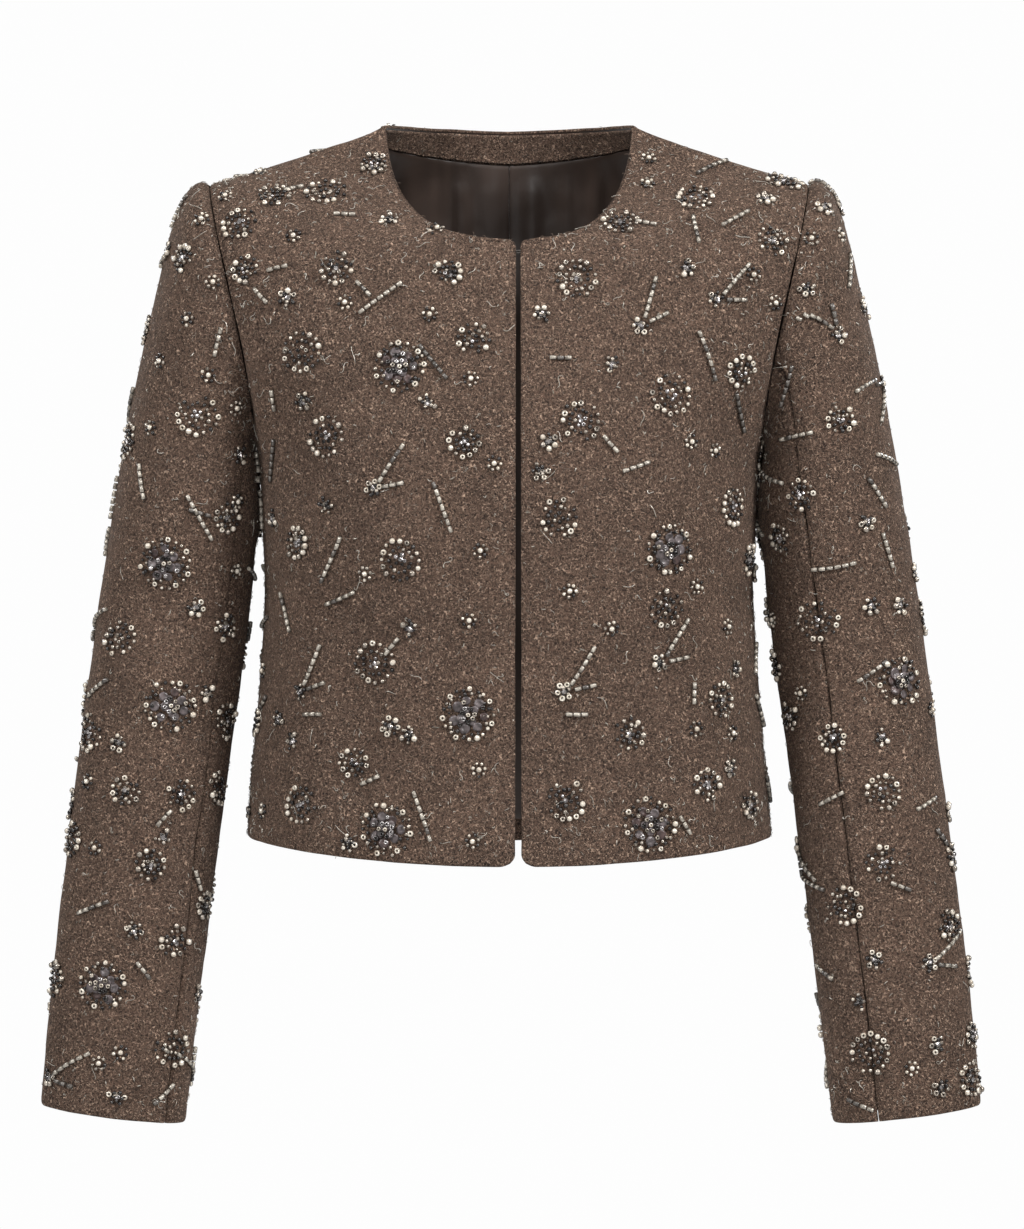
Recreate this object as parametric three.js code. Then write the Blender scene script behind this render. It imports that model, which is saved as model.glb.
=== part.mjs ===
// A cropped, collarless, edge-to-edge jacket of thick boucle cloth, filled out as it is worn.
// Millimetres. +Z is up, the front faces -Y, and +X is the wearer's left.
// The origin lies between the shoulders, at the height where the shoulder seams reach the neck.
import * as THREE from 'three';

// Cloth
const clothWall = 2.2;
const facingWall = 1.6;
const liningWall = 1.0;
const layerGap = 0.7; // between a panel and what lies on its inside
const seamGap = 0.3;

// Neck and shoulders
const neckHalf = 82.5;
const frontNeckDrop = 84;
const frontNeckDepth = 82;
const backNeckRise = 4.4;
const backNeckDepth = 75;
const shoulderHalf = 199;
const shoulderDrop = 40;
const shoulderSag = 2;
const seamDepth = 6; // the side seam and the shoulder point lie this far behind the middle

// Body
const armpitHalf = 167;
const armpitDrop = 213;
const frontLength = 489;
const sideHemRise = 14;
const backHemRise = 6;
const openingShift = 6; // the front edges meet this far to the wearer's left of the middle
const openingTop = 2.4;
const openingHem = 4.6;
const hemCornerRadius = 8.5;
const neckCornerRadius = 4.5;

// Armhole
const armholeFront = 62;
const armholeBack = 66;
const armholeScoop = 6;

// Neck facing and lining
const facingWidth = 25;
const facingRoll = 2.2; // the outer cloth rolls this far over the facing's top edge
const liningRise = 16; // the lining stops this far above the hem
const liningEase = 1.2; // and this far inside the side seams and armholes

// Half width and depth of the body, from hem to neck.
const bodyRows = [
  { z: -489, half: 176, front: 110, back: 98 },
  { z: -440, half: 172.5, front: 107, back: 94 },
  { z: -380, half: 167, front: 106, back: 88 },
  { z: -311, half: 163, front: 109, back: 84 },
  { z: -260, half: 164, front: 114, back: 90 },
  { z: -213, half: 167, front: 112, back: 97 },
  { z: -150, half: 172, front: 104, back: 101 },
  { z: -84, half: 180, front: 82, back: 95.5 },
  { z: -36, half: 190, front: 66, back: 87 },
  { z: 4.4, half: 199, front: 50, back: 75 },
];

// Rings of the sleeve: its outer and inner line, the depth of its middle, and its reach forward and back.
const sleeveRows = [
  { at: 0, outX: 199, outZ: -40, inX: 167, inZ: -213, midY: 6, front: 62, back: 66 },
  { at: 1, outX: 206, outZ: -38.4, inX: 170.2, inZ: -215.5, midY: 6, front: 64.5, back: 68 },
  { at: 2, outX: 213, outZ: -43, inX: 171.6, inZ: -219.5, midY: 6, front: 65.5, back: 69 },
  { at: 3, outX: 219, outZ: -53, inX: 171.8, inZ: -225, midY: 6, front: 65.5, back: 68.5 },
  { at: 4, outX: 225.7, outZ: -73, inX: 171.2, inZ: -232, midY: 6, front: 64.5, back: 67 },
  { at: 5, outX: 234, outZ: -108, inX: 170, inZ: -242, midY: 5, front: 62, back: 65 },
  { at: 6, outX: 243.5, outZ: -147, inX: 169, inZ: -255, midY: 5, front: 60, back: 62 },
  { at: 7, outX: 251.5, outZ: -187, inX: 168.6, inZ: -269, midY: 4, front: 58, back: 60 },
  { at: 8, outX: 259, outZ: -228, inX: 169.4, inZ: -287, midY: 4, front: 56, back: 57 },
  { at: 9, outX: 269, outZ: -290, inX: 172.5, inZ: -322, midY: 3, front: 52, back: 53 },
  { at: 10, outX: 278, outZ: -355, inX: 179, inZ: -374, midY: 0, front: 48, back: 49 },
  { at: 11, outX: 288.5, outZ: -437, inX: 189, inZ: -451, midY: -7, front: 43, back: 44 },
  { at: 12, outX: 298.5, outZ: -520, inX: 199, inZ: -533, midY: -16, front: 38, back: 39 },
  { at: 13, outX: 307, outZ: -598, inX: 208, inZ: -610, midY: -24, front: 34, back: 35 },
  { at: 14, outX: 311.5, outZ: -650, inX: 213.5, inZ: -662, midY: -28, front: 31, back: 32 },
];

// Turns round the sleeve, in degrees from its outer line through the front, where its two seams run.
const sleeveSeams = [
  { side: 'right', mirrored: true, frontSeam: 141, backSeam: 238 },
  { side: 'left', mirrored: false, frontSeam: 116, backSeam: 238 },
];

// Soft swells and hollows of the worn body: a middle, a reach along and across, a turn and a height.
const bodyFolds = [
  { face: 'front', x: 84, z: -258, along: 78, across: 58, turn: 90, height: 5.5 }, // bust
  { face: 'front', x: 128, z: -400, along: 110, across: 20, turn: 84, height: 2.4 },
  { face: 'front', x: 98, z: -420, along: 90, across: 16, turn: 88, height: -2.0 },
  { face: 'front', x: 142, z: -215, along: 62, across: 15, turn: 62, height: -2.6 },
  { face: 'front', x: 150, z: -318, along: 60, across: 17, turn: 20, height: -2.2 },
  { face: 'back', x: 92, z: -128, along: 74, across: 54, turn: 80, height: 3.4 }, // shoulder blade
  { face: 'back', x: 60, z: -400, along: 110, across: 24, turn: 92, height: 2.6 },
  { face: 'back', x: 118, z: -385, along: 100, across: 20, turn: 84, height: -2.4 },
  { face: 'back', x: 140, z: -238, along: 64, across: 16, turn: 58, height: -2.8 },
  { face: 'back', x: 96, z: -322, along: 88, across: 18, turn: 8, height: -2.2 },
];

const foldFade = 0.16;

// Creases of the sleeve, by ring and turn: most lie in the bend of the elbow.
const sleeveFolds = [
  { ring: 9.2, turn: 92, along: 44, across: 0.42, slope: -0.006, height: -3.0 },
  { ring: 9.9, turn: 118, along: 50, across: 0.40, slope: 0.008, height: -3.4 },
  { ring: 10.5, turn: 84, along: 46, across: 0.42, slope: -0.007, height: -2.6 },
  { ring: 11.3, turn: 130, along: 42, across: 0.36, slope: 0.006, height: -2.0 },
  { ring: 5.4, turn: 118, along: 24, across: 1.7, slope: 0.012, height: -3.0 },
  { ring: 5.8, turn: 246, along: 24, across: 1.8, slope: -0.012, height: -3.0 },
  { ring: 9.6, turn: 248, along: 46, across: 0.44, slope: 0.007, height: -2.6 },
  { ring: 10.4, turn: 268, along: 44, across: 0.42, slope: -0.006, height: -2.2 },
];

// How finely the panels are divided
const frontColumns = 13;
const lowerRows = 13;
const upperRows = 12;
const relaxPasses = 5;
const relaxReach = 0.5; // the evening out fades over this share of a panel's width, towards the armhole
const backColumns = 24;
const backUpperRows = 8;
const sleeveTopColumns = 13;
const sleeveUnderColumns = 7;
const sleeveRings = 26;
const edgeStep = 9; // a front's first row and column lie this far from its free edges

const neckShare = 0.42; // the part of the back's top row that is neckline
const armholeHandle = 42;

const vec = (x, y, z) => new THREE.Vector3(x, y, z);
const mix = (a, b, t) => a + (b - a) * t;
const mixVec = (a, b, t) => a.clone().lerp(b, t);
const clamp01 = (t) => Math.min(1, Math.max(0, t));
const ease = (t) => clamp01(t) * clamp01(t) * (3 - 2 * clamp01(t));

// A smooth reading of one column of a table between its rows.
function read(rows, key, at, column) {
  const last = rows.length - 1;
  let i = rows.findIndex((row) => row[key] > at) - 1;
  if (i < 0) i = at <= rows[0][key] ? 0 : last - 1;
  const slope = (j) => {
    const a = rows[Math.max(0, j - 1)];
    const b = rows[Math.min(last, j + 1)];
    return (b[column] - a[column]) / (b[key] - a[key]);
  };
  const step = rows[i + 1][key] - rows[i][key];
  const t = clamp01((at - rows[i][key]) / step);
  const [t2, t3] = [t * t, t * t * t];
  return (2 * t3 - 3 * t2 + 1) * rows[i][column] + (t3 - 2 * t2 + t) * step * slope(i)
    + (3 * t2 - 2 * t3) * rows[i + 1][column] + (t3 - t2) * step * slope(i + 1);
}

function bezier(p0, p1, p2, p3, t) {
  const u = 1 - t;
  return vec(0, 0, 0)
    .addScaledVector(p0, u * u * u)
    .addScaledVector(p1, 3 * u * u * t)
    .addScaledVector(p2, 3 * u * t * t)
    .addScaledVector(p3, t * t * t);
}

// Named points of the pattern
const neckPoint = vec(neckHalf, 2, 0);
const shoulderPoint = vec(shoulderHalf, seamDepth, -shoulderDrop);
const armpitPoint = vec(armpitHalf, seamDepth, -armpitDrop);

// The front neckline, from the front edge up to the neck point.
function frontNeckline(t, edgeX) {
  const low = vec(edgeX, -frontNeckDepth, -frontNeckDrop);
  return bezier(low, vec(52, -80, -frontNeckDrop), vec(79, -30, -58), neckPoint, t);
}

// The back neckline, from the middle of the back to the neck point.
function backNeckline(t) {
  const middle = vec(0, backNeckDepth, backNeckRise);
  return bezier(middle, vec(48, backNeckDepth, 5.6), vec(80.5, 40, 6), neckPoint, t);
}

// The shoulder seam, from the neck point out to the shoulder point: it sags a little near the neck.
function shoulderSeam(t) {
  const p = mixVec(neckPoint, shoulderPoint, t);
  p.z -= shoulderSag * Math.sin(Math.PI * Math.sqrt(clamp01(t)));
  return p;
}

// The armhole, by its turn from the shoulder point: forward for side 1, backward for side -1.
function armhole(turn, side) {
  const middle = mixVec(armpitPoint, shoulderPoint, 0.5);
  const p = mixVec(middle, shoulderPoint, Math.cos(turn));
  const reach = side > 0 ? armholeFront : armholeBack;
  p.y = seamDepth - side * reach * Math.sin(turn);
  if (side > 0) p.x -= armholeScoop * Math.sin(turn) ** 2 * (1 - Math.cos(turn)) / 2;
  return p;
}

// The way a row of the body runs out over the armhole: square to the seam, in the cloth.
function armholeHeading(turn, side) {
  const step = 0.01;
  const run = armhole(turn + step, side).sub(armhole(turn - step, side));
  const lift = Math.cos(turn);
  const middle = vec(0.55, -0.83 * side, 0.05);
  const end = lift > 0 ? vec(0.3, 0, 0.95) : vec(1, 0, 0);
  const out = mixVec(middle, end, Math.abs(lift)).normalize();
  return out.cross(run).multiplyScalar(side).normalize();
}

// Swells and hollows of the body, along its normal; they fade towards the side seam and armhole.
function foldHeight(face, point, across) {
  let height = 0;
  for (const fold of bodyFolds.filter((f) => f.face === face)) {
    const [dx, dz] = [Math.abs(point.x) - fold.x, point.z - fold.z];
    const turn = THREE.MathUtils.degToRad(fold.turn);
    const along = (dx * Math.cos(turn) + dz * Math.sin(turn)) / fold.along;
    const over = (-dx * Math.sin(turn) + dz * Math.cos(turn)) / fold.across;
    height += fold.height * Math.exp(-along * along - over * over);
  }
  return height * ease((1 - Math.abs(across)) / foldFade);
}

// Shape of a level section of the body, from the middle (0) round to the side seam (1).
const sectionOut = (s) => 3 * (1 - s) ** 2 * s * 0.6 + 3 * (1 - s) * s * s + s ** 3;
const sectionBack = (s) => 3 * (1 - s) * s * s * 0.4 + s ** 3;

// Height of the row that runs to the armpit: it dips and meets the side seam from below.
const armpitRow = (s) => -armpitDrop - 150 * s ** 6 * (1 - s);

function bodySection(s, z, face, edgeX) {
  const side = face === 'front' ? 1 : -1;
  const x = mix(edgeX, read(bodyRows, 'z', z, 'half'), sectionOut(s));
  const y = mix(-side * read(bodyRows, 'z', z, face), seamDepth, sectionBack(s));
  return vec(x, y, z);
}

// Hem height across a panel
function hemHeight(s, face) {
  const middle = -frontLength + (face === 'front' ? 0 : backHemRise);
  return mix(middle, -frontLength + sideHemRise, ease(s));
}

// Rows of the body from hem to armpit, u from 0 to 1.
function lowerBody(s, u, face, edgeX) {
  return bodySection(s, mix(hemHeight(s, face), armpitRow(s), u), face, edgeX);
}

// A row above the armpit, drawn from the inner edge to the armhole.
function upperRow(s, inner, innerHeading, outer, outerHeading, spread) {
  const reach = inner.distanceTo(outer);
  const a = inner.clone().addScaledVector(innerHeading, reach * spread);
  const b = outer.clone().addScaledVector(outerHeading, -armholeHandle);
  return bezier(inner, a, b, outer, s);
}

// The front above the armpit: u runs up the front edge, then round the neckline to the shoulder seam.
function upperFront(s, u, edgeX) {
  const cornerAt = 0.5;
  const row = (v) => {
    const turn = Math.PI * (1 - v);
    const outer = armhole(turn, 1);
    const heading = v < 1e-6 ? vec(0, 0.4, 0.9) : armholeHeading(turn, 1);
    const seam = shoulderPoint.clone().sub(neckPoint).normalize();
    let inner;
    let innerHeading = vec(1, 0, 0);
    if (v <= cornerAt) {
      const z = mix(-armpitDrop, -frontNeckDrop, v / cornerAt);
      inner = vec(edgeX, -read(bodyRows, 'z', z, 'front'), z);
    } else {
      const w = (v - cornerAt) / (1 - cornerAt);
      inner = frontNeckline(w, edgeX);
      innerHeading = mixVec(innerHeading, seam, ease(w)).normalize();
    }
    return upperRow(s, inner, innerHeading, outer, heading, mix(0.52, 0.34, ease(v)));
  };
  if (u > 1 - 1e-6) return shoulderSeam(s);
  const p = row(u);
  p.addScaledVector(lowerBody(s, 1, 'front', edgeX).sub(row(0)), (1 - u) ** 3);
  p.addScaledVector(shoulderSeam(s).sub(row(1)), u ** 6);
  return p;
}

// The back between armpit and yoke height.
const yokeHeight = -36;
const yokeTurn = THREE.MathUtils.degToRad(40);
function upperBack(s, u) {
  const row = (v) => {
    const turn = mix(Math.PI, yokeTurn, v);
    const z = mix(-armpitDrop, yokeHeight, v);
    const inner = vec(0, read(bodyRows, 'z', z, 'back'), z);
    const heading = v < 1e-6 ? vec(0, -0.4, 0.9) : armholeHeading(turn, -1);
    return upperRow(s, inner, vec(1, 0, 0), armhole(turn, -1), heading, mix(0.52, 0.42, v));
  };
  return row(u).addScaledVector(lowerBody(s, 1, 'back', 0).sub(row(0)), (1 - u) ** 3);
}

// The way the cloth arrives at the back's top edge, by its place along that edge.
const topHeadings = [
  { s: 0, x: 0, y: -0.3, z: 0.95 },
  { s: 0.21, x: -0.42, y: -0.5, z: 0.75 },
  { s: 0.42, x: -0.5, y: -0.8, z: 0.34 },
  { s: 0.56, x: -0.15, y: -1, z: 0.2 },
  { s: 1, x: 0, y: -1, z: 0 },
];

// The back's top edge: half the neckline, then the shoulder seam.
function backTop(s) {
  return s < neckShare ? backNeckline(s / neckShare) : shoulderSeam((s - neckShare) / (1 - neckShare));
}

// The back above the yoke height, up over the shoulder blade to the top edge.
function topBack(s, u) {
  const low = upperBack(s, 1);
  const rise = low.clone().sub(upperBack(s, 0.97)).normalize();
  const top = backTop(s);
  const heading = vec(...['x', 'y', 'z'].map((axis) => read(topHeadings, 's', s, axis))).normalize();
  const handle = low.distanceTo(top) * 0.36;
  const a = low.clone().addScaledVector(rise, handle);
  const b = top.clone().addScaledVector(heading, -handle);
  return bezier(low, a, b, top, u);
}

// A point of the back, v from 0 at the hem to 3 at the top edge; s from -1 to 1 across.
function backPoint(s, v) {
  const across = Math.abs(s);
  let p;
  if (v <= 1) p = lowerBody(across, v, 'back', 0);
  else if (v <= 2) p = upperBack(across, v - 1);
  else p = topBack(across, v - 2);
  return s < 0 ? p.setX(-p.x) : p;
}

// A point of a front, v from 0 at the hem to 2 at the shoulder seam; s from the front edge out.
function frontPoint(s, v, edgeX) {
  return v <= 1 ? lowerBody(s, v, 'front', edgeX) : upperFront(s, v - 1, edgeX);
}

// Unit normals of a grid of points whose columns, then rows, turn right-handed about the outside.
function gridNormals(points) {
  return points.map((row, r) => row.map((p, c) => {
    const below = points[Math.max(0, r - 1)][c];
    const above = points[Math.min(points.length - 1, r + 1)][c];
    const before = row[Math.max(0, c - 1)];
    const after = row[Math.min(row.length - 1, c + 1)];
    return after.clone().sub(before).cross(above.clone().sub(below)).normalize();
  }));
}

// Points moved along their normals
function moved(points, normals, distance) {
  return points.map((row, r) => row.map((p, c) => {
    const far = typeof distance === 'function' ? distance(p, r, c) : distance;
    return p.clone().addScaledVector(normals[r][c], far);
  }));
}

// A closed wall between an outer and an inner grid of points.
function wallBetween(outer, inner) {
  const [rows, columns] = [outer.length, outer[0].length];
  const position = [...outer.flat(), ...inner.flat()].flatMap((p) => [p.x, p.y, p.z]);
  const at = (layer, r, c) => layer * rows * columns + r * columns + c;
  const index = [];
  const quad = (a, b, c, d) => index.push(a, b, c, a, c, d);
  for (let r = 0; r < rows - 1; r += 1) {
    for (let c = 0; c < columns - 1; c += 1) {
      quad(at(0, r, c), at(0, r, c + 1), at(0, r + 1, c + 1), at(0, r + 1, c));
      quad(at(1, r, c), at(1, r + 1, c), at(1, r + 1, c + 1), at(1, r, c + 1));
    }
  }
  for (let c = 0; c < columns - 1; c += 1) {
    quad(at(1, 0, c), at(1, 0, c + 1), at(0, 0, c + 1), at(0, 0, c));
    quad(at(0, rows - 1, c), at(0, rows - 1, c + 1), at(1, rows - 1, c + 1), at(1, rows - 1, c));
  }
  for (let r = 0; r < rows - 1; r += 1) {
    quad(at(0, r, 0), at(0, r + 1, 0), at(1, r + 1, 0), at(1, r, 0));
    quad(at(1, r, columns - 1), at(1, r + 1, columns - 1), at(0, r + 1, columns - 1), at(0, r, columns - 1));
  }
  const geometry = new THREE.BufferGeometry();
  geometry.setAttribute('position', new THREE.Float32BufferAttribute(position, 3));
  geometry.setIndex(index);
  geometry.computeVertexNormals();
  return geometry;
}

// A normal turned into the plane of a seam across Y, so that two walls meet in a mitre there.
function mitre(normal) {
  const flat = normal.clone().setY(0).normalize();
  return flat.multiplyScalar(1 / Math.max(0.5, flat.dot(normal)));
}

// Parts a front and the back along the side seams and shoulder seams, and mitres their edges there.
function partSeams(points, normals, side, sideColumns, onShoulder) {
  const lastRow = points.length - 1;
  points.forEach((row, r) => row.forEach((p, c) => {
    const atSide = r <= lowerRows && sideColumns.includes(c);
    if (!atSide && !(r === lastRow && onShoulder(c))) return;
    p.y += side * seamGap / 2;
    normals[r][c] = mitre(normals[r][c]);
  }));
}

const mirror = (points) => points.map((row) => row.map((p) => vec(-p.x, p.y, p.z)).reverse());

// Places from 0 to 1 along a panel that is length long, the first of them a given width from its edge.
function places(count, length, width) {
  return Array.from({ length: count + 1 }, (_, i) => (
    i === 0 ? 0 : mix(width / length, 1, (i - 1) / (count - 1))
  ));
}

// Front panels: the edge is a free, rounded one, the shoulder, side and armhole are seams.
const frontWidth = 240;
const frontPlaces = places(frontColumns, frontWidth, edgeStep);
function frontGrid(edgeTop, edgeHem) {
  const lower = places(lowerRows, frontLength - armpitDrop, edgeStep);
  const upper = Array.from({ length: upperRows }, (_, i) => 1 + (i + 1) / upperRows);
  return [...lower, ...upper].map((v) => frontPlaces.map((s) => {
    const edgeX = mix(edgeHem, edgeTop, clamp01(v / 1.5));
    return frontPoint(s, v, edgeX);
  }));
}

// Evens out the rows inside a panel, so that the neck's corner leaves no ridge across it.
function relaxRows(points) {
  for (let pass = 0; pass < relaxPasses; pass += 1) {
    const before = points.map((row) => row.map((p) => p.clone()));
    for (let r = 1; r < points.length - 1; r += 1) {
      for (let c = 1; c < points[r].length - 1; c += 1) {
        const share = 0.5 * ease((1 - frontPlaces[c]) / relaxReach);
        points[r][c].lerp(mixVec(before[r - 1][c], before[r + 1][c], 0.5), share);
      }
    }
  }
}

// Takes a corner point of a panel in along both edges, as a quarter circle's middle lies.
function roundCorner(point, radius, outward, upward) {
  const inset = radius * (1 - Math.SQRT1_2);
  point.x -= outward * inset;
  point.z -= upward * inset;
}

function frontWall(mirrored) {
  const away = mirrored ? -openingShift : openingShift;
  const points = frontGrid(away + openingTop / 2, away + openingHem / 2);
  const cornerRow = lowerRows + upperRows / 2;
  relaxRows(points);
  roundCorner(points[0][0], hemCornerRadius, -1, -1);
  roundCorner(points[cornerRow][0], neckCornerRadius, -1, 1);
  const normals = gridNormals(points);
  partSeams(points, normals, -1, [frontColumns], (c) => c >= 0);
  const outer = moved(points, normals, (p, r, c) => foldHeight('front', p, frontPlaces[c]));
  const inner = moved(outer, normals, -clothWall);
  return mirrored ? wallBetween(mirror(outer), mirror(inner)) : wallBetween(outer, inner);
}

// Places across the back, from the wearer's left to the right; a column stands at each neck point.
function backColumnPlaces() {
  const half = backColumns / 2;
  const neckColumns = Math.round(half * neckShare);
  const left = Array.from({ length: half + 1 }, (_, i) => (
    i <= neckColumns ? (neckShare * i) / neckColumns
      : mix(neckShare, 1, (i - neckColumns) / (half - neckColumns))
  ));
  return [...left.slice(1).reverse(), ...left.map((s) => -s)];
}

// How far below the top edge, as a share of the top part's rows, a given width of cloth lies.
function topShare(s, width) {
  const bulge = 1.06;
  return width / (backPoint(Math.abs(s), 2).distanceTo(backPoint(Math.abs(s), 3)) * bulge);
}

// Places up the back: its last rows follow the facing's lower edge, its middle, its roll and the top edge.
function backRowPlaces(s) {
  const facingFoot = 3 - topShare(s, facingWidth);
  return [
    ...places(lowerRows, frontLength - armpitDrop, liningRise),
    ...Array.from({ length: backUpperRows }, (_, i) => 1 + (i + 1) / backUpperRows),
    mix(2, facingFoot, 0.5),
    facingFoot,
    3 - topShare(s, facingWidth / 2),
    3 - topShare(s, facingRoll),
    3,
  ];
}

const backPlaces = backColumnPlaces();
const backFootRow = 1; // rows of the grid that the lining and facing start and end at
const facingFootRow = lowerRows + backUpperRows + 2;
const facingRollRow = facingFootRow + 2;

// The back's outer and inner points, with the normals that join them.
function backShape() {
  const placesUp = backPlaces.map(backRowPlaces);
  const points = placesUp[0].map((_, r) => backPlaces.map((s, c) => backPoint(s, placesUp[c][r])));
  const normals = gridNormals(points);
  partSeams(points, normals, 1, [0, backColumns], (c) => Math.abs(backPlaces[c]) > neckShare - 0.001);
  const outer = moved(points, normals, (p, r, c) => foldHeight('back', p, backPlaces[c]));
  return { outer, inner: moved(outer, normals, -clothWall), normals };
}

// A layer on the inside of the back, between two rows and two columns of its points.
function backLayer(shape, rows, columns, wall) {
  const part = (grid) => grid.slice(rows[0], rows[1] + 1)
    .map((row) => row.slice(columns[0], columns[1] + 1).map((p) => p.clone()));
  const normals = part(shape.normals);
  const outer = moved(part(shape.inner), normals, -layerGap);
  return { outer, inner: moved(outer, normals, -wall) };
}

// Draws one edge of a layer's grid in along its rows or columns.
function drawIn(layer, edge, distance) {
  for (const grid of [layer.outer, layer.inner]) {
    const pull = (p, towards) => p.addScaledVector(towards.clone().sub(p).normalize(), distance);
    const last = grid.length - 1;
    if (edge === 'top') grid[last].forEach((p, c) => pull(p, grid[last - 1][c]));
    if (edge === 'foot') grid[0].forEach((p, c) => pull(p, grid[1][c]));
    if (edge === 'left') grid.forEach((row) => pull(row[0], row[1]));
    if (edge === 'right') grid.forEach((row) => pull(row[row.length - 1], row[row.length - 2]));
  }
}

// The facing band that shows inside the back of the neck.
function neckFacing(shape) {
  const first = backPlaces.findIndex((s) => s < neckShare + 0.001);
  const columns = [first, backColumns - first];
  const layer = backLayer(shape, [facingFootRow, facingRollRow], columns, facingWall);
  drawIn(layer, 'foot', seamGap);
  drawIn(layer, 'left', facingRoll);
  drawIn(layer, 'right', facingRoll);
  return wallBetween(layer.outer, layer.inner);
}

// Half of the back lining, from its middle seam out to the side seam.
function backLining(shape, side) {
  const middle = backColumns / 2;
  const columns = side === 'left' ? [0, middle] : [middle, backColumns];
  const layer = backLayer(shape, [backFootRow, facingFootRow], columns, liningWall);
  drawIn(layer, 'top', seamGap);
  drawIn(layer, side === 'left' ? 'left' : 'right', liningEase);
  drawIn(layer, side === 'left' ? 'right' : 'left', seamGap / 2);
  return wallBetween(layer.outer, layer.inner);
}

// A point of the sleeve, ring from 0 at the armhole to the last at the cuff.
function sleevePoint(ring, turn) {
  const get = (column) => read(sleeveRows, 'at', ring, column);
  const [cosine, sine] = [Math.cos(turn), Math.sin(turn)];
  const x = mix(get('inX'), get('outX'), (1 + cosine) / 2);
  const z = mix(get('inZ'), get('outZ'), (1 + cosine) / 2);
  const y = get('midY') - (sine > 0 ? get('front') : get('back')) * sine;
  const scoop = sine > 0 ? armholeScoop * sine ** 2 * (1 - cosine) / 2 : 0;
  return vec(x - scoop * clamp01(1 - ring / 5), y, z);
}

function sleeveFoldHeight(ring, turn) {
  const degrees = THREE.MathUtils.radToDeg(turn);
  let height = 0;
  for (const fold of sleeveFolds) {
    const away = degrees - fold.turn;
    const along = away / fold.along;
    const across = (ring - fold.ring - fold.slope * away) / fold.across;
    height += fold.height * Math.exp(-along * along - across * across);
  }
  return height * ease(ring / 2);
}

// A sleeve panel between two turns; its outside normals come from the whole sleeve.
function sleevePanel(fromTurn, toTurn, columns, mirrored) {
  const lastRing = sleeveRows.length - 1;
  const rings = Array.from({ length: sleeveRings + 1 }, (_, i) => {
    const t = i / sleeveRings;
    return lastRing * (t < 0.42 ? (t / 0.42) * 0.5 : mix(0.5, 1, (t - 0.42) / 0.58));
  });
  const [from, to] = [fromTurn, toTurn].map(THREE.MathUtils.degToRad);
  const armholeAxis = vec(shoulderDrop - armpitDrop, 0, armpitHalf - shoulderHalf).normalize().negate();
  const step = 0.01;
  const outer = [];
  const inner = [];
  for (const ring of rings) {
    const [outerRow, innerRow] = [[], []];
    for (let c = 0; c <= columns; c += 1) {
      const turn = mix(from, to, c / columns);
      const p = sleevePoint(ring, turn);
      const round = sleevePoint(ring, turn + step).sub(sleevePoint(ring, turn - step));
      const down = sleevePoint(Math.min(lastRing, ring + step), turn)
        .sub(sleevePoint(Math.max(0, ring - step), turn));
      const normal = round.clone().cross(down).normalize();
      const seamPush = c === 0 ? seamGap / 2 : (c === columns ? -seamGap / 2 : 0);
      p.addScaledVector(down.clone().cross(normal).normalize(), seamPush);
      p.addScaledVector(normal, sleeveFoldHeight(ring, turn));
      if (ring === 0) p.addScaledVector(armholeAxis, seamGap * 1.2);
      outerRow.push(p);
      innerRow.push(p.clone().addScaledVector(normal, -clothWall));
    }
    outer.push(outerRow);
    inner.push(innerRow);
  }
  return mirrored ? wallBetween(mirror(outer), mirror(inner)) : wallBetween(outer, inner);
}

const boucle = new THREE.MeshStandardMaterial({ color: 0x6f5d52, roughness: 0.95, metalness: 0 });
const facingCloth = new THREE.MeshStandardMaterial({ color: 0x62524a, roughness: 0.95, metalness: 0 });
const satin = new THREE.MeshStandardMaterial({ color: 0x3b302d, roughness: 0.45, metalness: 0 });

function piece(name, geometry, material) {
  const mesh = new THREE.Mesh(geometry, material);
  mesh.name = name;
  return mesh;
}

const back = backShape();
const jacket = new THREE.Group();
jacket.add(
  piece('front_right', frontWall(true), boucle),
  piece('front_left', frontWall(false), boucle),
  piece('back', wallBetween(back.outer, back.inner), boucle),
  piece('neck_facing', neckFacing(back), facingCloth),
  piece('lining_back_right', backLining(back, 'right'), satin),
  piece('lining_back_left', backLining(back, 'left'), satin),
);
for (const { side, mirrored, frontSeam, backSeam } of sleeveSeams) {
  const topPanel = sleevePanel(backSeam - 360, frontSeam, sleeveTopColumns, mirrored);
  const underPanel = sleevePanel(frontSeam, backSeam, sleeveUnderColumns, mirrored);
  jacket.add(
    piece(`sleeve_${side}_top`, topPanel, boucle),
    piece(`sleeve_${side}_under`, underPanel, boucle),
  );
}

export default jacket;
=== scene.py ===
import math
import bpy
import numpy as np
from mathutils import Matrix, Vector, noise


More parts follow.
